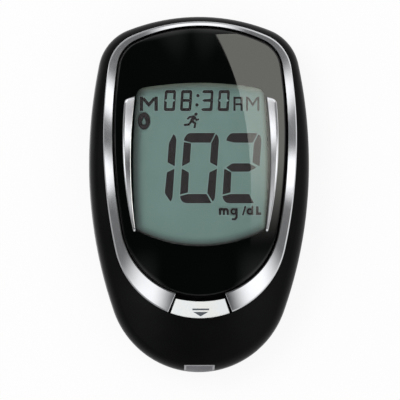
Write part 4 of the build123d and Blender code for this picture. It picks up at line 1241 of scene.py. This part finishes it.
# soft lights that only reflections see, mirrored left and right unless a side is given: where each stands
# (azimuth from the side towards the top, elevation), its reach, how soft its rim is and how bright it is
softLights = {
    "topGlow": dict(azimuth=78.0, elevation=47.0, reach=(21.0, 20.0), softness=0.5, level=1.6),
    "shoulderStrip": dict(azimuth=21.0, elevation=43.0, reach=(5.2, 13.0), softness=0.55, level=1.8),
    "sideStrip": dict(azimuth=0.5, elevation=40.0, reach=(5.5, 9.0), softness=0.55, level=1.9),
    "accentLight": dict(azimuth=10.0, elevation=52.5, reach=(4.0, 5.5), softness=0.5, level=1.9),
    "accentTop": dict(azimuth=18.5, elevation=53.5, reach=(2.6, 6.0), softness=0.5, level=2.4, side=1),
    "accentTail": dict(azimuth=-7.0, elevation=53.5, reach=(6.0, 6.0), softness=0.6, level=0.85),
    "lowerLeftGlow": dict(azimuth=-46.0, elevation=54.0, reach=(15.0, 14.0), softness=0.75, level=1.5,
                          side=-1),
    "lowerRightGlow": dict(azimuth=-37.0, elevation=52.0, reach=(14.0, 14.0), softness=0.7, level=1.65,
                           side=1),
}


def onlyReflected(tree, paths):
    # 1 for what a surface reflects, 0 for what is seen through clear plastic
    return mathOf(tree, "SUBTRACT", paths["Is Glossy Ray"], paths["Is Transmission Ray"], clamp=True)


def makeWorld():
    v = worldValues
    world = bpy.data.worlds.new("studioWorld")
    bpy.context.scene.world = world
    world.use_nodes = True
    world.cycles.sampling_method = "NONE"
    tree = world.node_tree
    tree.nodes.clear()
    split = addNode(tree, "ShaderNodeSeparateXYZ")
    feed(tree, split, {0: addNode(tree, "ShaderNodeTexCoord").outputs["Generated"]})
    x, y, z = split.outputs
    azimuth = mathOf(tree, "ARCTAN2", y, mathOf(tree, "ABSOLUTE", x))
    elevation = mathOf(tree, "ARCSINE", z)
    low = rampOf(tree, elevation, radians(v["horizon"][0]), radians(v["horizon"][1]), 1.0, 0.0)
    right = rampOf(tree, x, -v["turnOver"], v["turnOver"], v["leftLow"], 1.0)
    haze = rampOf(tree, elevation, radians(v["overhead"][0]), radians(v["overhead"][1]), v["haze"], 0.0)
    level = mathOf(tree, "MAXIMUM", mathOf(tree, "MULTIPLY", low, right), haze)
    for light in softLights.values():
        parts = []
        for angle, middle, reach in zip((azimuth, elevation), (light["azimuth"], light["elevation"]),
                                        light["reach"]):
            part = mathOf(tree, "MULTIPLY_ADD", angle, 180 / pi / reach, -middle / reach)
            parts.append(mathOf(tree, "MULTIPLY", part, part))
        away = mathOf(tree, "SQRT", mathOf(tree, "ADD", *parts))
        glow = rampOf(tree, away, 1.0 - light["softness"], 1.0 + light["softness"], light["level"], 0.0)
        if "side" in light:
            onSide = mathOf(tree, "GREATER_THAN", mathOf(tree, "MULTIPLY", x, light["side"]), 0.0)
            glow = mathOf(tree, "MULTIPLY", glow, onSide)
        level = mathOf(tree, "MAXIMUM", level, glow)
    paths = addNode(tree, "ShaderNodeLightPath").outputs
    lit = mixOf(tree, onlyReflected(tree, paths), v["dayLevel"], level, "FLOAT")
    background = addNode(tree, "ShaderNodeBackground")
    feed(tree, background, {"Strength": mixOf(tree, paths["Is Camera Ray"], lit, 1.0, "FLOAT")})
    feed(tree, addNode(tree, "ShaderNodeOutputWorld"), {"Surface": background.outputs[0]})


# key lamp

lampValues = dict(spot=(-0.5, 0.35, 0.9), size=0.6, power=4.0)


def makeLamp():
    v = lampValues
    data = bpy.data.lights.new("keyLamp", "AREA")
    data.shape = "DISK"
    data.size = v["size"]
    data.energy = v["power"]
    lamp = addObject("keyLamp", data)
    lamp.location = v["spot"]
    lamp.rotation_euler = (-Vector(v["spot"])).to_track_quat("-Z", "Y").to_euler()
    lamp.visible_glossy = False
    lamp.visible_camera = False


# the softbox on the right, as slopes from the zenith: its rim runs straight up and then bends inwards

softboxValues = dict(tone=(1.0, 1.0, 0.92), height=0.4, strength=3.3, reach=0.307, bendFrom=-0.09,
                     bend=1.284, power=2.74, foot=-0.2, top=0.40, far=0.62, back=0.6, backShift=0.22,
                     fade=(-0.19, 0.09), steps=40)


def makeSoftboxGlow():
    # glow that only reflections see, fading towards the foot
    v = softboxValues
    material, tree, _ = startMaterial("softboxGlow")
    tree.nodes.clear()
    split = addNode(tree, "ShaderNodeSeparateXYZ")
    feed(tree, split, {0: addNode(tree, "ShaderNodeTexCoord").outputs["Object"]})
    fading = rampOf(tree, split.outputs["Y"], *[y * v["height"] for y in v["fade"]])
    only = onlyReflected(tree, addNode(tree, "ShaderNodeLightPath").outputs)
    strength = mathOf(tree, "MULTIPLY", mathOf(tree, "MULTIPLY", only, fading), v["strength"])
    glow = addNode(tree, "ShaderNodeEmission")
    feed(tree, glow, {"Color": rgba(v["tone"]), "Strength": strength})
    both = addNode(tree, "ShaderNodeAddShader")
    feed(tree, both, {0: glow.outputs[0], 1: addNode(tree, "ShaderNodeBsdfTransparent").outputs[0]})
    feed(tree, addNode(tree, "ShaderNodeOutputMaterial"), {"Surface": both.outputs[0]})
    return material


def makeSoftbox():
    v = softboxValues
    corners = [(v["reach"] - v["bend"] * max(0.0, y - v["bendFrom"]) ** v["power"], y)
               for y in evenly(v["top"], v["foot"], v["steps"])]
    corners += [(v["far"], v["foot"]), (v["far"], v["back"]), (corners[0][0] + v["backShift"], v["back"])]
    mesh = bpy.data.meshes.new("sideSoftbox")
    height = v["height"]
    mesh.from_pydata([(x * height, y * height, height) for x, y in corners], [], [tuple(range(len(corners)))])
    card = addObject("sideSoftbox", mesh)
    mesh.materials.append(makeSoftboxGlow())
    card.visible_camera = False
    card.visible_diffuse = False
    card.visible_shadow = False
    card.visible_transmission = False


makeFloor()
makeWorld()
makeLamp()
makeSoftbox()
print("meter: stage, world and lamps made")

bpy.context.scene.view_settings.view_transform = "Standard"
